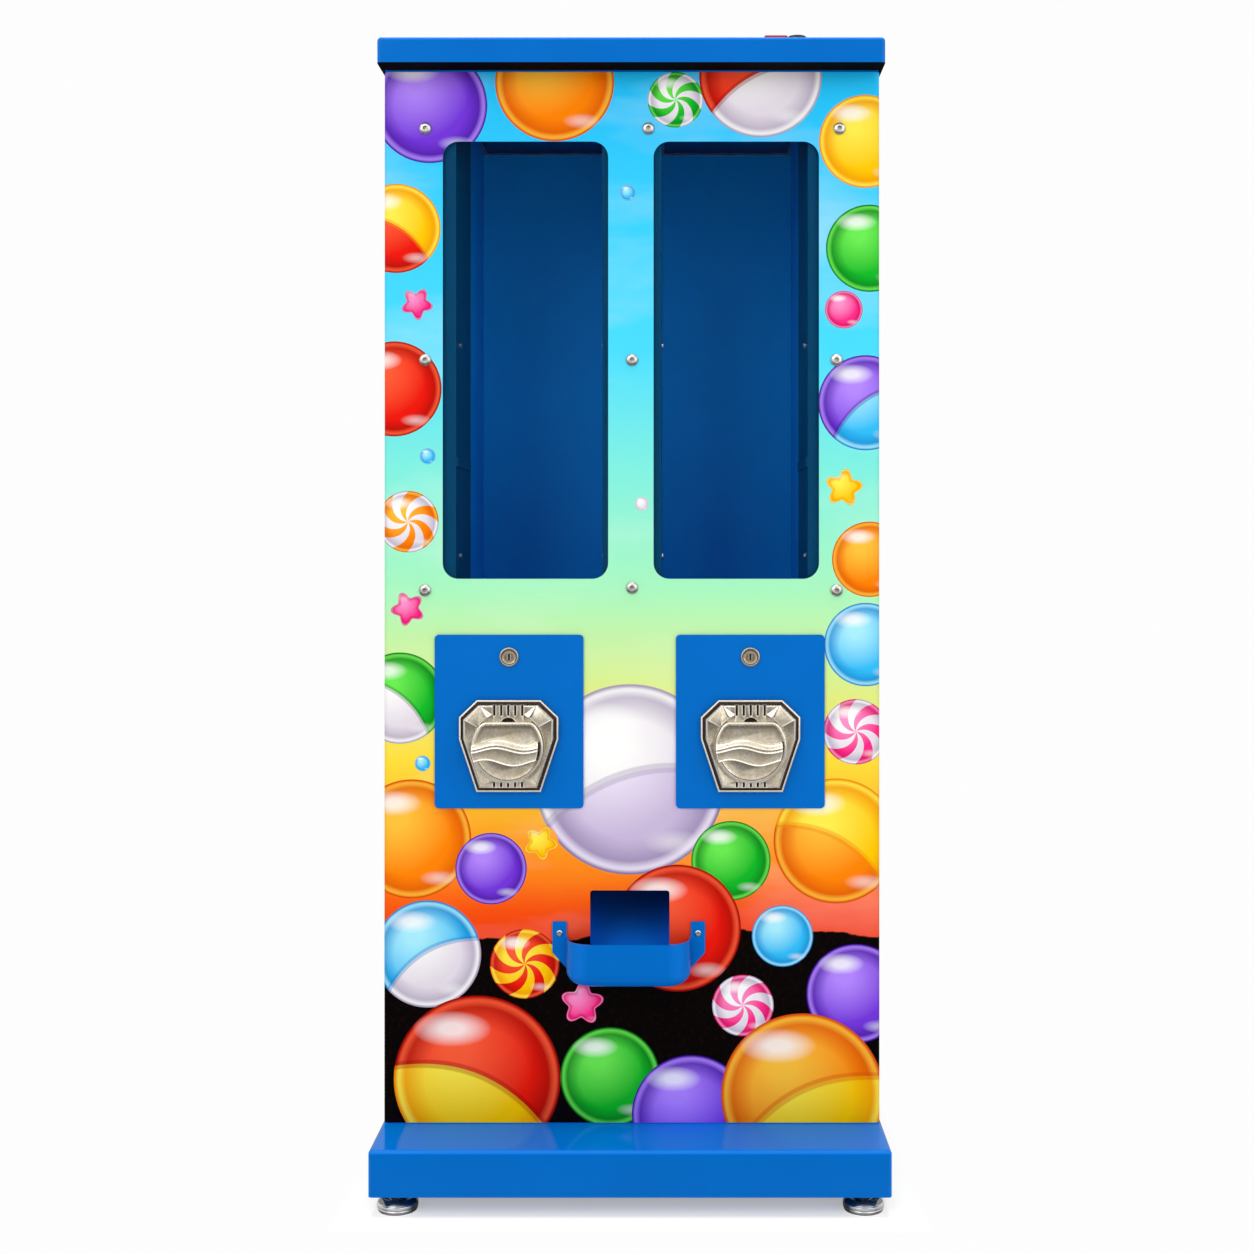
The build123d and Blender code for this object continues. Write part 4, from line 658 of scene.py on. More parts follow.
def sweets(f, face, under):
    """Lays every ball, toy capsule, swirl and star of the list over the colour under them.

    The topmost motif at a point leaves its own coordinates there and one number: a whole
    part for kind and colours, and a fraction for its turn. One set of nodes then shades it.
    """
    names = list(TONES)
    found = (0.0, 0.0, 0.0)
    for kind, x, z, radius, first, *rest in MOTIFS:
        second, turn = rest or (first, 0)
        code = 1 + KINDS.index(kind) * 100 + names.index(first) * 10 + names.index(second)
        code += 0.5 + turn / TURN_SPAN
        scale = 1000 / radius
        shift = (-x / radius, -z / radius, code)
        settings = {"operation": "MULTIPLY_ADD"}
        local = f.add("VectorMath", settings, i0=face, i1=(scale, scale, 0), i2=shift)
        away = f.vector("DISTANCE", face, (x * MM, z * MM, 0), out=1)
        inside = away.math("LESS_THAN", radius * MM)
        found = f.add("Mix", {"data_type": "VECTOR"}, out=1, i0=inside, i4=found, i5=local)
    across, up, code = f.axes(found)
    number = code.math("FLOOR")
    turned = (code - number - 0.5) * math.radians(TURN_SPAN)
    number = number - 1.0
    kind = (number / 100 + 0.001).math("FLOOR")
    colours = number - kind * 100
    first = (colours / 10 + 0.01).math("FLOOR")
    second = colours - first * 10
    plane = f.add("CombineXYZ", X=across, Y=up)
    distance = f.vector("LENGTH", plane, out=1)
    lit = f.vector("DISTANCE", plane, (-0.24, 0.34, 0), out=1) * 0.66
    is_capsule, is_swirl, is_star = (kind.math("COMPARE", index, 0.2) for index in (1.0, 2.0, 3.0))

    around = up.math("ARCTAN2", across) + turned
    sine, cosine = turned.math("SINE"), turned.math("COSINE")
    along = across * sine + up * cosine
    beside = across * cosine - up * sine
    seam = along + beside * beside * 0.3 - 0.06
    stripes = (around * 6 + distance * 6.5).math("SINE")
    lower = f.remap(seam, 0.012, -0.012) * is_capsule
    other = lower + f.remap(stripes, -0.1, 0.1) * is_swirl
    chosen = first + (second - first) * other.math("ROUND")
    reach = (around * 5).math("COSINE") * 0.17 + 0.8
    into_star = distance / reach
    rounded = distance + (into_star - distance) * is_star
    rim_low = f.remap(rounded, 0.86, 0.93)
    rim_high = f.remap(rounded, 0.985, 0.95)
    colour = glossy_tone(f, chosen, rounded, lit, rim_low * rim_high * 0.75)
    band = f.remap(seam.math("ABSOLUTE"), 0.06, 0.045) * is_capsule
    colour = f.mix(band * 0.45, colour, tone_table(f, first, 2))
    oval = f.vector("MULTIPLY", f.vector("SUBTRACT", plane, (-0.3, 0.6, 0)), (2.1, 4.6, 0))
    spot = f.vector("MULTIPLY", f.vector("SUBTRACT", plane, (0.46, -0.66, 0)), (3.0, 7.5, 0))
    wide = f.remap(f.vector("LENGTH", oval, out=1), 1.0, 0.3, 0.0, 0.74)
    small = f.remap(f.vector("LENGTH", spot, out=1), 1.0, 0.2, 0.0, 0.4)
    flat = 1.0 - is_star * 0.7
    colour = f.mix(((wide + small) * flat).clamped(), colour, (1, 1, 1, 1))
    outside_star = f.remap(rounded, 0.985, 1.0) * is_star
    cover = f.remap(code, 0.4, 0.6) * (1.0 - outside_star)
    return f.mix(cover, under, colour)


def printed_film(name, ground):
    """Glossy printed film: a sunset sky, dark hills, and sweets and toy capsules."""
    f = Finish(name)
    across, _, up = f.axes(f.place)
    face = f.add("CombineXYZ", X=across, Y=up)
    stops = [(position, linear(code)) for position, code in SKY]
    colour = f.add("ValToRGB", {"stops": stops}, Fac=f.remap(up, PRINT_LOW, PRINT_HIGH))
    haze = f.noise((3.0, 1.0, 9.0), 4, 0.55)
    colour = f.mix(f.remap(haze, 0.5, 0.8, 0.0, 0.3), colour, (1.0, 1.0, 1.0, 1))
    swell = (across * 13.0 + 0.6).math("SINE") * 0.009 + (across * 34.0).math("SINE") * 0.004
    hill = swell + f.noise(26, 5, 0.6) * 0.016 + 0.248 - up
    colour = f.mix(f.remap(hill, -0.06, 0.01, 0.0, 0.75), colour, linear("#F03808"))
    speck = f.noise(220, 3, 0.6)
    soil = f.mix(f.remap(speck, 0.5, 0.8, 0.0, 0.5), ground, linear("#2A0E06"))
    colour = f.mix(f.remap(hill, -0.0006, 0.0008), colour, soil)
    colour = sweets(f, face, colour)
    grain = f.noise(1800, 2, 0.5)
    colour = f.mix(f.remap(grain, 0.4, 0.7, 0.0, 0.05), colour, (0, 0, 0, 1))
    ripple = f.noise(40, 2, 0.5)
    rough = f.remap(ripple, 0.3, 0.7, 0.14, 0.24)
    normal = f.bump(ripple + grain * 0.08, 0.0002, 0.25)
    return f.surface(Base_Color=colour, Roughness=rough, Normal=normal, Specular_IOR_Level=0.05)


def give(material, names):
    """Assigns a finish to CAD nodes. A name that ends in * stands for all that begin so."""
    for name in names.split():
        stem = name.rstrip("*")
        nodes = [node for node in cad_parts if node.startswith(stem)] if stem != name else [name]
        for piece in (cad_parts[node] for node in nodes):
            if not piece.material_slots:
                piece.data.materials.append(material)
            for material_slot in piece.material_slots:
                material_slot.material = material


class CAPSULE_OT_finishes(bpy.types.Operator):
    """Gives every CAD node its finish"""

    bl_idname = "capsule.finishes"
    bl_label = "Finishes"

    def execute(self, context):
        blue = paint("blue")
        give(powder_coat("blue powder coat", blue), "cabinet_shell back_panel catch_tray mech_door_*")
        give(powder_coat("plinth powder coat", blue, top_highlight=0.7), "base_tray")
        give(powder_coat("lid powder coat", blue, shaded_below=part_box("lid")[0][2]), "lid")
        # painted light: the columns' inside gets a lighter copy of the blue paint
        inner = paint("inner_blue")
        give(powder_coat("inner blue coat", inner, 0.34), "hopper_sides hopper_backs hopper_floor")
        # painted shade: the brackets by the window edges get the inner paint made much darker
        give(powder_coat("bracket blue coat", toned(inner, 0.17), 0.34), "hopper_brackets")
        # painted light: the ramp gets its own lighter copy of the blue paint
        give(powder_coat("ramp blue coat", linear("#006AEC"), 0.34), "delivery_ramp")
        give(printed_film("printed film", paint("ground")), "front_film")
        give(clear_sheet("clear sheet"), "window_sheet")
        give(cast_metal("cast zinc", paint("zinc")), "mech_housing_*")
        give(cast_metal("worn lock plug", linear("#8E826C"), 0.8, polish=0.3), "lock_plug_*")
        steel = bright_metal("bright steel", paint("steel"))
        give(steel, "window_screws window_nuts tray_screws back_screws hopper_rivets wheel_axles")
        give(steel, "hinge_pin lid_lock_plug lock_barrel_* drive_shaft_*")
        polished = bright_metal("polished steel", paint("steel"), 0.1, 300)
        give(polished, "foot_pad_* foot_stud_* foot_lock_nuts")
        give(bright_metal("turned brass", paint("brass"), 0.24), "drive_pinion_*")
        galvanised = zinc_sheet("galvanised sheet", linear("#9A9EA2"))
        give(galvanised, "fill_deck lower_deck capsule_collector coin_shelves coin_box_*")
        give(galvanised, "hinge_leaf_body hinge_leaf_lid")
        give(moulded("black plastic", linear("#141416"), 0.38), "wheel_stands lid_lock_barrel")
        white = moulded("white plastic", linear("#DAD9D4"), 0.36)
        give(white, "wheel_housings dispensing_wheel_*")
        give(moulded("black rubber", linear("#101010"), 0.6), "lid_seal")
        give(moulded("red rubber", paint("red"), 0.45), "lid_lock_cap")
        return {"FINISHED"}


# ---- the left coin mechanism in millimetres: its centre and planes, read from the frame

BEZEL_BOX = box_mm("bezel_left")
BEZEL_X, _, SHAFT_Z = centre_mm("bezel_left")
DOOR_FRONT = BEZEL_BOX[1][1]
BEZEL_FRONT = DOOR_FRONT - 11
KNOB_BACK, KNOB_TOP = box_mm("knob_left")[1][1:]

# A cut below is a plane: a point, counted from the shaft across and up, and the way that the
# plane faces. It is given for the right half, and the left half mirrors it. The corners' points
# count their height in halves of the bezel's.
BEZEL_CORNERS = (
    ((32.0, 0, 1), (17, 0, 17.8)),
    ((32.3, 0, -1), (53, 0, -17.5)),
)
# the widths and rises of a flat rim, the deep groove inside it, and the raised face
BEZEL_STEPS = ((1.5, 0.0), (0.4, -3.2), (2.2, 0.0), (0.6, 8.2), (0.8, 1.0), (0.9, 0.0), (0.5, -0.6))
GROOVE_FLOOR = DOOR_FRONT - 3.7
RIDGE_RISE = 4.0
# name, reach across and up of the raw block, and the planes that shape it
RIDGES = (
    # a wedge in the corner that falls towards the knob
    (
        "facet",
        (17, 46),
        (17, 43),
        (
            ((28.4, 0, 41.0), (15.5, 0, 15.9)),
            ((43.6, 0, 27), (7.9, 0, -14.2)),
            ((28.4, 0, 41.0), (-17, 0, 9.4)),
            ((41, BEZEL_FRONT - 2.0, 37), (-0.1, -1, 0.12)),
        ),
    ),
    # a bright ridge beside the coin slot
    (
        "horn",
        (13, 29),
        (22, 41),
        (
            ((27.6, 0, 40.6), (17, 0, -9.4)),
            ((14.6, 0, 31.5), (-9.6, 0, 13.6)),
            ((21, BEZEL_FRONT - 3.0, 33), (-0.3, -1, 0.42)),
        ),
    ),
)
# half width, bottom and top of the sunk bed that the upper grooves lie in
BED = (15.8, 20, 41.3)
GROOVE_COUNT, GROOVE_PITCH, GROOVE_HALF = 5, 7.0, 1.1
GROOVE_SPANS = ((30.8, 41.6), (-40.6, -35.2))
GROOVE_DEPTH = 8.0
COIN_RISE, COIN_RADIUS = 20.9, 8.2
SEAT_RADIUS = 36.1


class CAPSULE_OT_bezels(bpy.types.Operator):
    """Models the two cast bezels with their rims, facets, ridges, grooves and coin slot"""

    bl_idname = "capsule.bezels"
    bl_label = "Bezels"

    def execute(self, context):
        rim_front = DOOR_FRONT - size("bezel_rim")
        (low_x, _, low_z), (high_x, _, high_z) = BEZEL_BOX
        tall = (high_z - low_z) / 2
        body = cube("bezel", (low_x, rim_front, low_z), (high_x, DOOR_FRONT, high_z))
        for way in (-1, 1):
            for (x, y, end), (lean_x, lean_y, lean_z) in BEZEL_CORNERS:
                body.cut(self.at(way * x, y, end * tall), (way * lean_x, lean_y, lean_z))
        body.faces(lambda middle, normal: normal.y < -0.99)
        body.inset(*BEZEL_STEPS)
        bezel = body.done()

        for way in (-1, 1):
            for name, across, up, planes in RIDGES:
                ridge = self.block(name, way, across, up)
                for (x, y, z), (lean_x, lean_y, lean_z) in planes:
                    ridge.cut(self.at(way * x, y, z), (way * lean_x, lean_y, lean_z))
                bezel = carve(bezel, ridge.done(), "UNION")

        half, low, high = BED
        low_corner = (BEZEL_X - half, BEZEL_FRONT - 8, SHAFT_Z + low)
        bed = cube("bed", low_corner, (BEZEL_X + half, KNOB_BACK + 0.3, SHAFT_Z + high))
        bezel = carve(bezel, bed.done())
        for number in range(GROOVE_COUNT):
            x = BEZEL_X + (number - GROOVE_COUNT // 2) * GROOVE_PITCH
            for low, high in GROOVE_SPANS:
                low_corner = (x - GROOVE_HALF, BEZEL_FRONT - 2, SHAFT_Z + low)
                high_corner = (x + GROOVE_HALF, BEZEL_FRONT + GROOVE_DEPTH, SHAFT_Z + high)
                groove = cube("groove", low_corner, high_corner)
                groove.edges(lambda a, b: abs(a.y - b.y) > 0.001).bevel(0.0009, 3)
                bezel = carve(bezel, groove.done())
        front, back = BEZEL_FRONT - 1, BEZEL_FRONT + GROOVE_DEPTH
        bezel = carve(bezel, disc("coin", BEZEL_X, SHAFT_Z + COIN_RISE, front, back, COIN_RADIUS).done())
        seat = disc("seat", BEZEL_X, SHAFT_Z, BEZEL_FRONT - 8, KNOB_BACK + 0.3, SEAT_RADIUS, 128)
        bezel = soften(carve(bezel, seat.done()), 0.00035, 2, 25)
        # the groove floors behind this plane are painted dark: soiling and painted shade
        zinc = cast_metal("bezel casting", paint("zinc"), 0.7, GROOVE_FLOOR * MM)
        dress_pair(bezel, "bezel_cast", zinc, "door", "bezel")
        return {"FINISHED"}

    def at(self, x, y, z):
        """A point beside the shaft, from millimetres."""
        return ((BEZEL_X + x) * MM, y * MM, (SHAFT_Z + z) * MM)

    def block(self, name, way, across, up):
        """A raw block on the bezel's face, on one side of the shaft."""
        low_x, high_x = sorted((BEZEL_X + way * across[0], BEZEL_X + way * across[1]))
        low = (low_x, BEZEL_FRONT - RIDGE_RISE, SHAFT_Z + up[0])
        return cube(name, low, (high_x, BEZEL_FRONT + 1.5, SHAFT_Z + up[1]))


KNOB_RADIUS = 35.5
KNOB_THICK = 7.8
FLAT_RISE = KNOB_TOP - SHAFT_Z + 3.5
SHOULDER = 11.0
# The grip is a bent strip: its columns and rows of faces, half its length, and half a wave.
GRIP_COLUMNS, GRIP_ROWS, GRIP_HALF, GRIP_WAVE = 56, 11, 40.0, 28
ROW_GAP = 100


class CAPSULE_OT_knobs(bpy.types.Operator):
    """Models the two knobs: a disc with a flat top, a raised rim and a wavy grip"""

    bl_idname = "capsule.knobs"
    bl_label = "Knobs"

    def execute(self, context):
        front = KNOB_BACK - KNOB_THICK
        plate = disc("knob", BEZEL_X, SHAFT_Z, front, KNOB_BACK, KNOB_RADIUS, 160)
        plate.cut((BEZEL_X * MM, 0, (SHAFT_Z + FLAT_RISE) * MM), (0, 0, 1))
        # the flat runs into the round edge over two shoulders, cut by short tangent planes
        shoulder_z = FLAT_RISE - SHOULDER
        shoulder_x = math.sqrt((KNOB_RADIUS - SHOULDER) ** 2 - shoulder_z**2)
        for way in (-1, 1):
            for degrees in range(30, 90, 7):
                lean, rise = way * math.cos(math.radians(degrees)), math.sin(math.radians(degrees))
                x = BEZEL_X + way * shoulder_x + SHOULDER * lean
                z = SHAFT_Z + shoulder_z + SHOULDER * rise
                plate.cut((x * MM, 0, z * MM), (lean, 0, rise))
        plate.faces(lambda middle, normal: normal.y < -0.99)
        rim = size("knob_rim")
        plate.inset((0.6, 0.0), (rim * 0.3, 0.4), (rim * 0.4, 0.0), (rim * 0.5, -1.8), (4.0, -0.6))
        knob = plate.done()
        grip = self.grip(front + 1.0, front + 2.0 - size("grip_height"))
        knob = soften(carve(knob, grip, "UNION"), 0.0004, 2, 28)
        zinc = cast_metal("knob casting", paint("zinc"), 0.52)
        dress_pair(knob, "knob_cast", zinc, "drive", "knob")
        return {"FINISHED"}

    def grip(self, face, crest):
        """A strip with a crest and a bead, bent into its wave column by column, and trimmed round."""
        strip = Shape(
            "grip",
            bpy.ops.mesh.primitive_grid_add,
            (BEZEL_X * MM, face * MM, SHAFT_Z * MM),
            turn=(math.pi / 2, 0, 0),
            scale=(GRIP_HALF * MM, 0.01, 1),
            x_subdivisions=GRIP_COLUMNS,
            y_subdivisions=GRIP_ROWS,
            size=2,
        )
        # each row's mean height, its plane, and where its wave peaks and how high, lower edge first
        profile = (
            (-14.9, face + 2.5, -21, 3.0),
            (-14.5, crest + 0.6, -21, 3.0),
            (-13.9, crest - 0.5, -21, 3.0),
            (-12.9, crest + 0.5, -21, 3.0),
            (-2.9, crest + 0.9, -11, 2.5),
            (-2.1, crest - 0.4, -11, 2.5),
            (-1.1, crest + 0.3, -11, 2.5),
            (-0.1, crest + 3.8, -11, 2.5),
            (1.0, crest + 1.9, -10, 2.5),
            (5.3, crest + 4.8, -9, 2.6),
            (6.0, crest + 5.6, -9, 2.6),
            (6.3, face + 2.5, -9, 2.6),
        )
        # each row is first lifted far from the others, so that its points are told apart by height
        for row, (height, depth, _, _) in enumerate(profile):
            level = SHAFT_Z - 10 + 20 * row / GRIP_ROWS
            strip.points(partial(self.is_level, level))
            lift = SHAFT_Z + height + ROW_GAP * (row + 1) - level
            strip.move((0, (depth - face) * MM, lift * MM))
        for row, (height, _, peak, swing) in enumerate(profile):
            level = SHAFT_Z + height + ROW_GAP * (row + 1)
            for column in range(GRIP_COLUMNS + 1):
                x = -GRIP_HALF + 2 * GRIP_HALF / GRIP_COLUMNS * column
                rise = swing * math.cos((x - peak) * math.pi / GRIP_WAVE)
                strip.points(partial(self.is_near, BEZEL_X + x, level))
                strip.move((0, 0, (rise - ROW_GAP * (row + 1)) * MM))
        bpy.ops.mesh.select_all(action="SELECT")
        strip.extrude((0, 0.003, 0))
        grip = strip.done()
        trim = disc("trim", BEZEL_X - 2.2, SHAFT_Z, crest - 5, KNOB_BACK - 1, KNOB_RADIUS - 2.4, 160)
        return carve(grip, trim.done(), "INTERSECT")

    def is_level(self, level, co):
        return abs(co.z / MM - level) < 0.6

    def is_near(self, x, level, co):
        return abs(co.x / MM - x) < 0.3 and abs(co.z / MM - level) < 9


# ---- the cam locks and screws in millimetres: each step of a turned face is a width and a rise

LOCK_FLANGE, LOCK_WALL, LOCK_BORE = 2.5, 1.1, 6.06
# a rounded ring, a groove and the edge of the seat
LOCK_STEPS = (
    (0.35, 0.2),
    (0.5, 0.2),
    (0.6, -0.1),
    (0.35, -0.5),
    (0.2, -1.0),
    (0.5, 0.0),
    (0.2, 0.9),
    (0.5, -0.3),
)
# a button head, from its edge to its top
SCREW_STEPS = ((0.35, 0.7), (0.6, 0.65), (0.8, 0.5), (0.9, 0.35), (0.7, 0.15))
SCREW_SHANK, SCREW_SOCKET = 2.5, 2.4


class CAPSULE_OT_locks(bpy.types.Operator):
    """Models the two cam locks' faces: a rounded steel ring, a dark groove and a sunk seat"""

    bl_idname = "capsule.locks"
    bl_label = "Locks"

    def execute(self, context):
        (_, front, _), (edge, back, _) = box_mm("lock_barrel_left")
        x, _, z = centre_mm("lock_barrel_left")
        ring = disc("lock", x, z, front + 0.4, front + LOCK_FLANGE, edge - x, 72)
        ring.faces(lambda middle, normal: normal.y < -0.99)
        ring.inset(*LOCK_STEPS)
        ring.faces(lambda middle, normal: normal.y > 0.99)
        ring.inset((LOCK_WALL, 0.0)).extrude((0, (back - front - LOCK_FLANGE) * MM, 0))
        barrel = ring.done()
        bore = disc("bore", x, z, front - 1, back + 1, LOCK_BORE, 64)
        barrel = soften(carve(barrel, bore.done()), 0.00012, 2, 35)
        steel = cast_metal("lock steel", linear("#A3947C"), 0.78, polish=0.2)
        dress_pair(barrel, "lock_face", steel, "door", "lock_barrel")
        return {"FINISHED"}


class CAPSULE_OT_screws(bpy.types.Operator):
    """Models one button-head screw with its hexagon socket, and copies it round the windows"""

    bl_idname = "capsule.screws"
    bl_label = "Window screws"

    def execute(self, context):
        (_, tip, _), (_, end, _) = box_mm("window_screws")
        radius = size("screw_radius")
        places = self.middles("window_screws")
        x, z = places[0]
        head = disc("screw", x, z, tip + 2.4, tip + 3.3, radius, 48)
        head.faces(lambda middle, normal: normal.y < -0.99)
        head.inset(*SCREW_STEPS)
        head.faces(lambda middle, normal: normal.y > 0.99)
        head.inset((radius - SCREW_SHANK, 0.0)).extrude((0, (end - tip - 3.3) * MM, 0))
        screw = head.done()
        socket = disc("socket", x, z, tip - 1, tip + 2.1, SCREW_SOCKET, 6)
        screw = soften(carve(screw, socket.done()), 0.00012, 2, 35)
        others = [copied(screw, "screw", ((a - x) * MM, 0, (b - z) * MM)) for a, b in places[1:]]
        screws = merge([screw, *others])
        screws.name = "window_screw_heads"
        steel = cast_metal("screw steel", paint("steel"), polish=0.2)
        dress(screws, steel, "cabinet", "window_screws")
        return {"FINISHED"}

    def middles(self, node):
        """Where a node's separate pieces have their front ends, as x and z in millimetres."""
        corners = [point.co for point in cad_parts[node].data.vertices]
        front = min(co.y for co in corners) + 0.0001
        groups = []
        for co in corners:
            if co.y > front:
                continue
            near = [group for group in groups if math.dist(group[0], (co.x, co.z)) < 0.012]
            if not near:
                near = [[]]
                groups += near
            near[0].append((co.x, co.z))
        ends = [[(min(values) + max(values)) / 2 / MM for values in zip(*group)] for group in groups]
        return sorted(ends)


# A foot pad in millimetres: its raw height, the levels of the rim's groove and how far the
# groove and the lower edge draw in, and the widths and rises of its shoulder and dish
PAD_HEIGHT = 7.6
PAD_GROOVE, GROOVE_IN, EDGE_IN = (3.3, 3.9, 4.5), 0.7, 1.0
PAD_STEPS = ((0.7, 0.3), (2.6, 4.2), (0.9, 0.6), (4.0, -1.5), (3.2, -0.5), (0.5, 1.2), (0.7, 0.2))
# the height above the foot from which the pad's top is painted darker, a painted shade under the base
PAD_SHADED = 7.8


class CAPSULE_OT_feet(bpy.types.Operator):
    """Models one turned foot pad with its groove, shoulder and dish, and copies it to each corner"""

    bl_idname = "capsule.feet"
    bl_label = "Foot pads"

    def execute(self, context):
        (_, _, foot), (edge, _, top) = box_mm("foot_pad_front_left")
        x, y, _ = centre_mm("foot_pad_front_left")
        radius = edge - x
        axis = (x * MM, y * MM, 0)
        pad = self.post("pad", x, y, foot, foot + PAD_HEIGHT, radius, 96)
        # a turned groove parts the rim into two bands
        for level in PAD_GROOVE:
            bpy.ops.mesh.select_all(action="SELECT")
            bpy.ops.mesh.bisect(plane_co=(0, 0, (foot + level) * MM), plane_no=(0, 0, 1))
        pad.points(lambda co: abs(co.z / MM - foot - PAD_GROOVE[1]) < 0.1)
        pad.resize((1 - GROOVE_IN / radius, 1 - GROOVE_IN / radius, 1), axis)
        pad.points(lambda co: co.z / MM < foot + 0.1)
        pad.resize((1 - EDGE_IN / radius, 1 - EDGE_IN / radius, 1), axis)
        pad.faces(lambda middle, normal: normal.z > 0.99)
        pad = pad.inset(*PAD_STEPS).done()
        stud_radius = box_mm("foot_stud_front_left")[1][0] - x
        bore = self.post("bore", x, y, top - 2, top + 6, stud_radius + 0.3, 48)
        pad = soften(carve(pad, bore.done()), 0.00045, 3, 28)
        steel = turned_steel("turned foot", paint("steel"), (foot + PAD_SHADED) * MM)
        for corner in CORNERS[1:] + CORNERS[:1]:
            place, name = centre_mm(f"foot_pad_{corner}"), f"foot_turned_{corner}"
            shift = ((place[0] - x) * MM, (place[1] - y) * MM, 0)
            turned = pad if corner == CORNERS[0] else copied(pad, name, shift)
            turned.name = name
            dress(turned, steel, f"pad_{corner}", f"foot_pad_{corner}")
        return {"FINISHED"}

    def post(self, name, x, y, low, high, radius, sides):
        """An upright round block, in millimetres."""
        return Shape(
            name,
            bpy.ops.mesh.primitive_cylinder_add,
            (x * MM, y * MM, (low + high) / 2 * MM),
            vertices=sides,
            radius=radius * MM,
            depth=(high - low) * MM,
        )


# ---- the studio

# The camera's focal length and shift, its place in metres, and its tilt in degrees
LENS, SENSOR, SHIFT = 47.95, 36, (-0.0342, -0.0646)
CAMERA_PLACE, CAMERA_TILT = (0.0384, -1.7987, 0.6442), 90.11
# Each lamp's place in metres, its turn in degrees, its size in metres and its power in watts
LAMPS = (
    ("key lamp", (-1.7, -2.6, 2.3), (62, 0, -33), 2.2, 31),
    ("fill lamp", (1.9, -2.4, 1.5), (72, 0, 38), 2.2, 21),
    ("top lamp", (0.0, -0.3, 5.0), (0, 0, 0), 2.7, 92),
)
ROOM_LIGHT = 0.52
# How bright the room is that gloss and metal see, from straight down (0) to straight up (1)
CEILING = ((0.0, 0.2), (0.4, 0.4), (0.475, 0.9), (0.57, 1.0), (0.68, 1.15), (0.82, 1.5), (1.0, 1.2))
BACKGROUND = (0.985, 0.985, 0.985, 1)
FLOOR_TONES = ((0.95, 0.93, 0.88, 1), (0.96, 0.94, 0.89, 1))
FLOOR_GLOW = ((1, 0.99, 0.96, 1), 0.36)


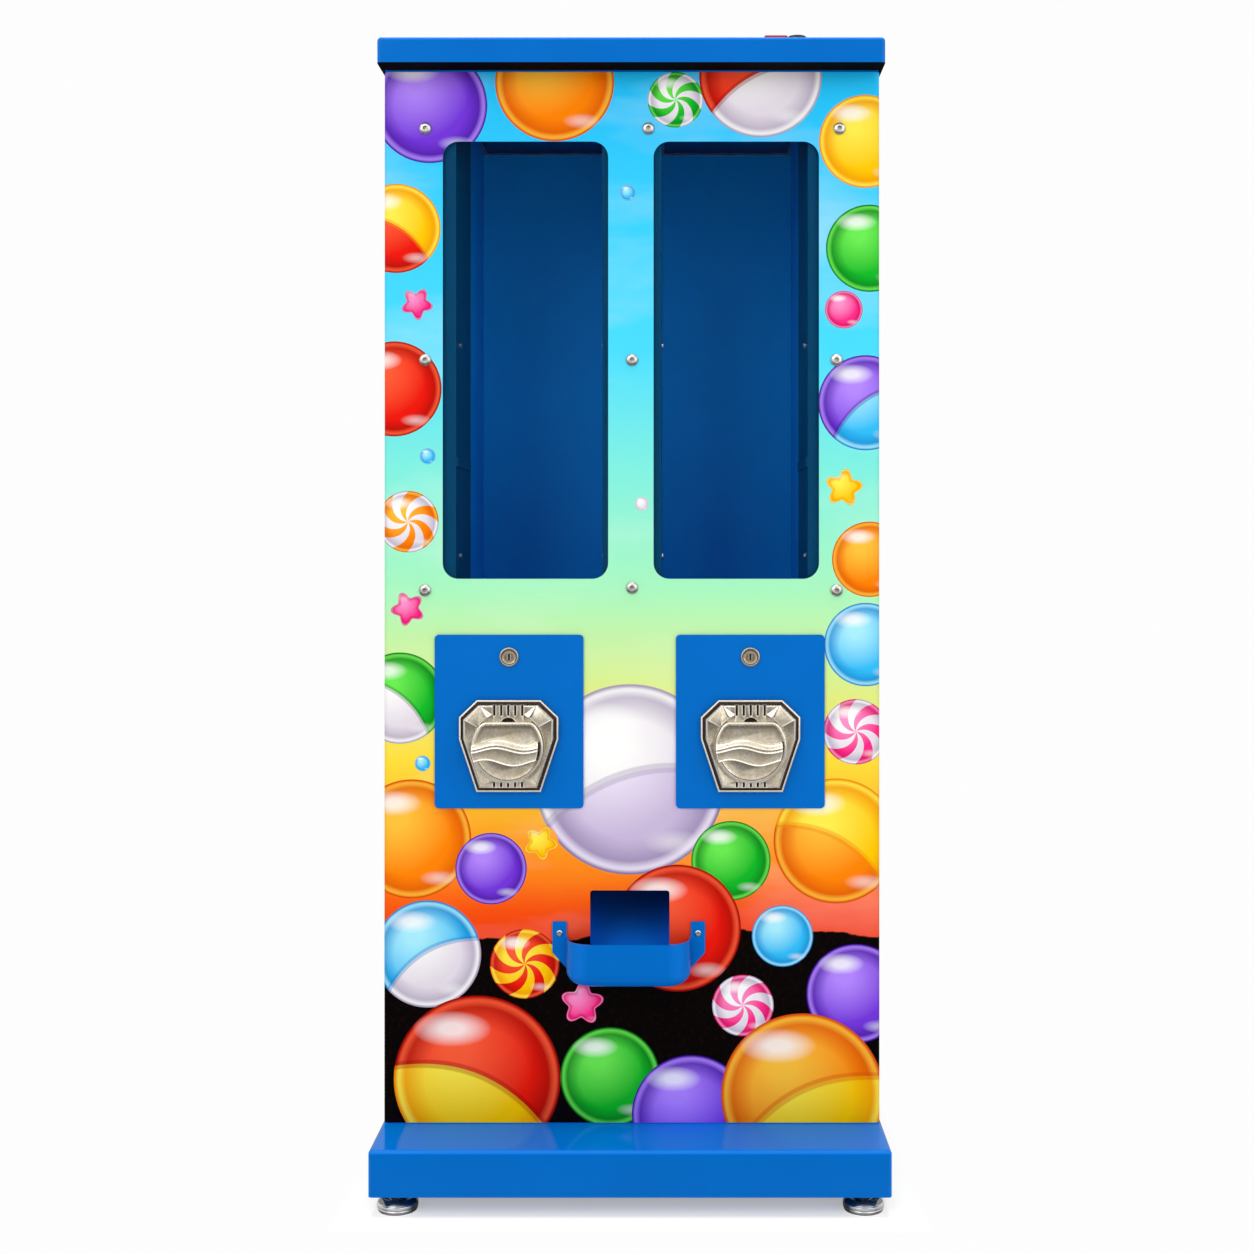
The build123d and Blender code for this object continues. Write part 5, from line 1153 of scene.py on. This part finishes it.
class CAPSULE_OT_studio(bpy.types.Operator):
    """Sets the camera, the pale floor and the even studio light"""

    bl_idname = "capsule.studio"
    bl_label = "Studio"

    def execute(self, context):
        scene = context.scene
        scene.view_settings.view_transform = "Standard"
        camera = bpy.data.cameras.new("studio camera")
        camera.lens = LENS
        camera.sensor_width = SENSOR
        camera.shift_x, camera.shift_y = SHIFT
        holder = bpy.data.objects.new("studio camera", camera)
        context.collection.objects.link(holder)
        holder.location = CAMERA_PLACE
        holder.rotation_euler = (math.radians(CAMERA_TILT), 0, 0)
        scene.camera = holder
        scene.world = self.room()
        for name, spot, turn, width, power in LAMPS:
            light = bpy.data.lights.new(name, "AREA")
            light.size = width
            light.energy = power
            lamp = bpy.data.objects.new(name, light)
            lamp.location = spot
            lamp.rotation_euler = [math.radians(v) for v in turn]
            context.collection.objects.link(lamp)

        bpy.ops.object.select_all(action="DESELECT")
        bpy.ops.mesh.primitive_plane_add(size=14, location=(0, 2.0, 0))
        floor = context.active_object
        floor.name = "studio_floor"
        bpy.ops.object.transform_apply(location=True, rotation=True, scale=True)
        floor.data.materials.append(self.pale_floor())
        return {"FINISHED"}

    def room(self):
        """A plain white room. Gloss and metal see a dark lower half and a bright ceiling."""
        f = Finish("studio world", world=True)
        up = f.axes(f.add("TexCoord", out="Generated"))[2]
        stops = [(position, (tone, tone * 0.985, tone * 0.96, 1)) for position, tone in CEILING]
        tones = f.add("ValToRGB", {"stops": stops}, Fac=f.remap(up, -1.0, 1.0))
        plain = f.add("Background", Color=(1.0, 1.0, 1.0, 1), Strength=ROOM_LIGHT)
        mirrored = f.add("Background", Color=tones)
        shown = f.add("Background", Color=BACKGROUND)
        lit = f.add("MixShader", i0=f.add("LightPath", out="Is Glossy Ray"), i1=plain, i2=mirrored)
        through = f.add("LightPath", out="Is Transmission Ray")
        seen = f.add("LightPath", out="Is Camera Ray").math("MAXIMUM", through)
        return f.ends_in(f.add("MixShader", i0=seen, i1=lit, i2=shown))

    def pale_floor(self):
        """A pale floor that keeps the shadow close by the base, and is white further off."""
        f = Finish("pale floor")
        diffuse = f.add("BsdfDiffuse", Color=f.mix(f.noise(2.0, 2, 0.5), *FLOOR_TONES))
        # painted light: to the camera the floor near the base glows faintly, which lightens the shadow
        # there
        glow = f.add("Emission", Color=FLOOR_GLOW[0], Strength=FLOOR_GLOW[1])
        near = f.add("AddShader", i0=diffuse, i1=glow)
        white = f.add("Emission", Color=BACKGROUND, Strength=1.0)
        across, deep, _ = f.axes(f.place)
        half_width, half_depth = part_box("base_tray")[1][:2]
        aside = across.math("ABSOLUTE") - half_width
        beyond = aside.math("MAXIMUM", deep.math("ABSOLUTE") - half_depth)
        both = f.add("MixShader", i0=f.remap(beyond, -0.006, 0.034), i1=near, i2=white)
        shown = f.add("MixShader", i0=f.add("LightPath", out="Is Camera Ray"), i1=diffuse, i2=both)
        # in gloss and metal it shows a painted shadow: dark under the base, bright by its edge and
        # dimmer further out
        edge = f.remap(beyond, -0.014, 0.01, 0.05, 0.95)
        fall = f.remap(beyond, 0.05, 0.2, 1.0, 0.22) + f.remap(beyond, 0.8, 3.0, 0.0, 0.6)
        mirrored = f.add("Emission", Color=(1, 1, 1, 1), Strength=edge * fall)
        gloss = f.add("LightPath", out="Is Glossy Ray")
        return f.ends_in(f.add("MixShader", i0=gloss, i1=shown, i2=mirrored))


class CAPSULE_PT_panel(bpy.types.Panel):
    """Lists the steps that dress the machine"""

    bl_idname = "CAPSULE_PT_panel"
    bl_label = "Capsule machine"
    bl_space_type = "VIEW_3D"
    bl_region_type = "UI"
    bl_category = "Capsules"

    def draw(self, context):
        for group in (context.scene.capsule_paints, context.scene.capsule_sizes):
            for key in group.__annotations__:
                self.layout.prop(group, key)
        for step in STEPS:
            self.layout.operator(step.bl_idname)


STEPS = (
    CAPSULE_OT_finishes,
    CAPSULE_OT_bezels,
    CAPSULE_OT_knobs,
    CAPSULE_OT_locks,
    CAPSULE_OT_screws,
    CAPSULE_OT_feet,
    CAPSULE_OT_studio,
)
CLASSES = (CapsulePaints, CapsuleSizes, *STEPS, CAPSULE_PT_panel)


def register():
    for item in CLASSES:
        bpy.utils.register_class(item)
    bpy.types.Scene.capsule_paints = bpy.props.PointerProperty(type=CapsulePaints)
    bpy.types.Scene.capsule_sizes = bpy.props.PointerProperty(type=CapsuleSizes)


def unregister():
    del bpy.types.Scene.capsule_sizes
    del bpy.types.Scene.capsule_paints
    for item in reversed(CLASSES):
        bpy.utils.unregister_class(item)


def main():
    register()
    for step in STEPS:
        family, action = step.bl_idname.split(".")
        getattr(getattr(bpy.ops, family), action)()


if __name__ == "__main__":
    main()
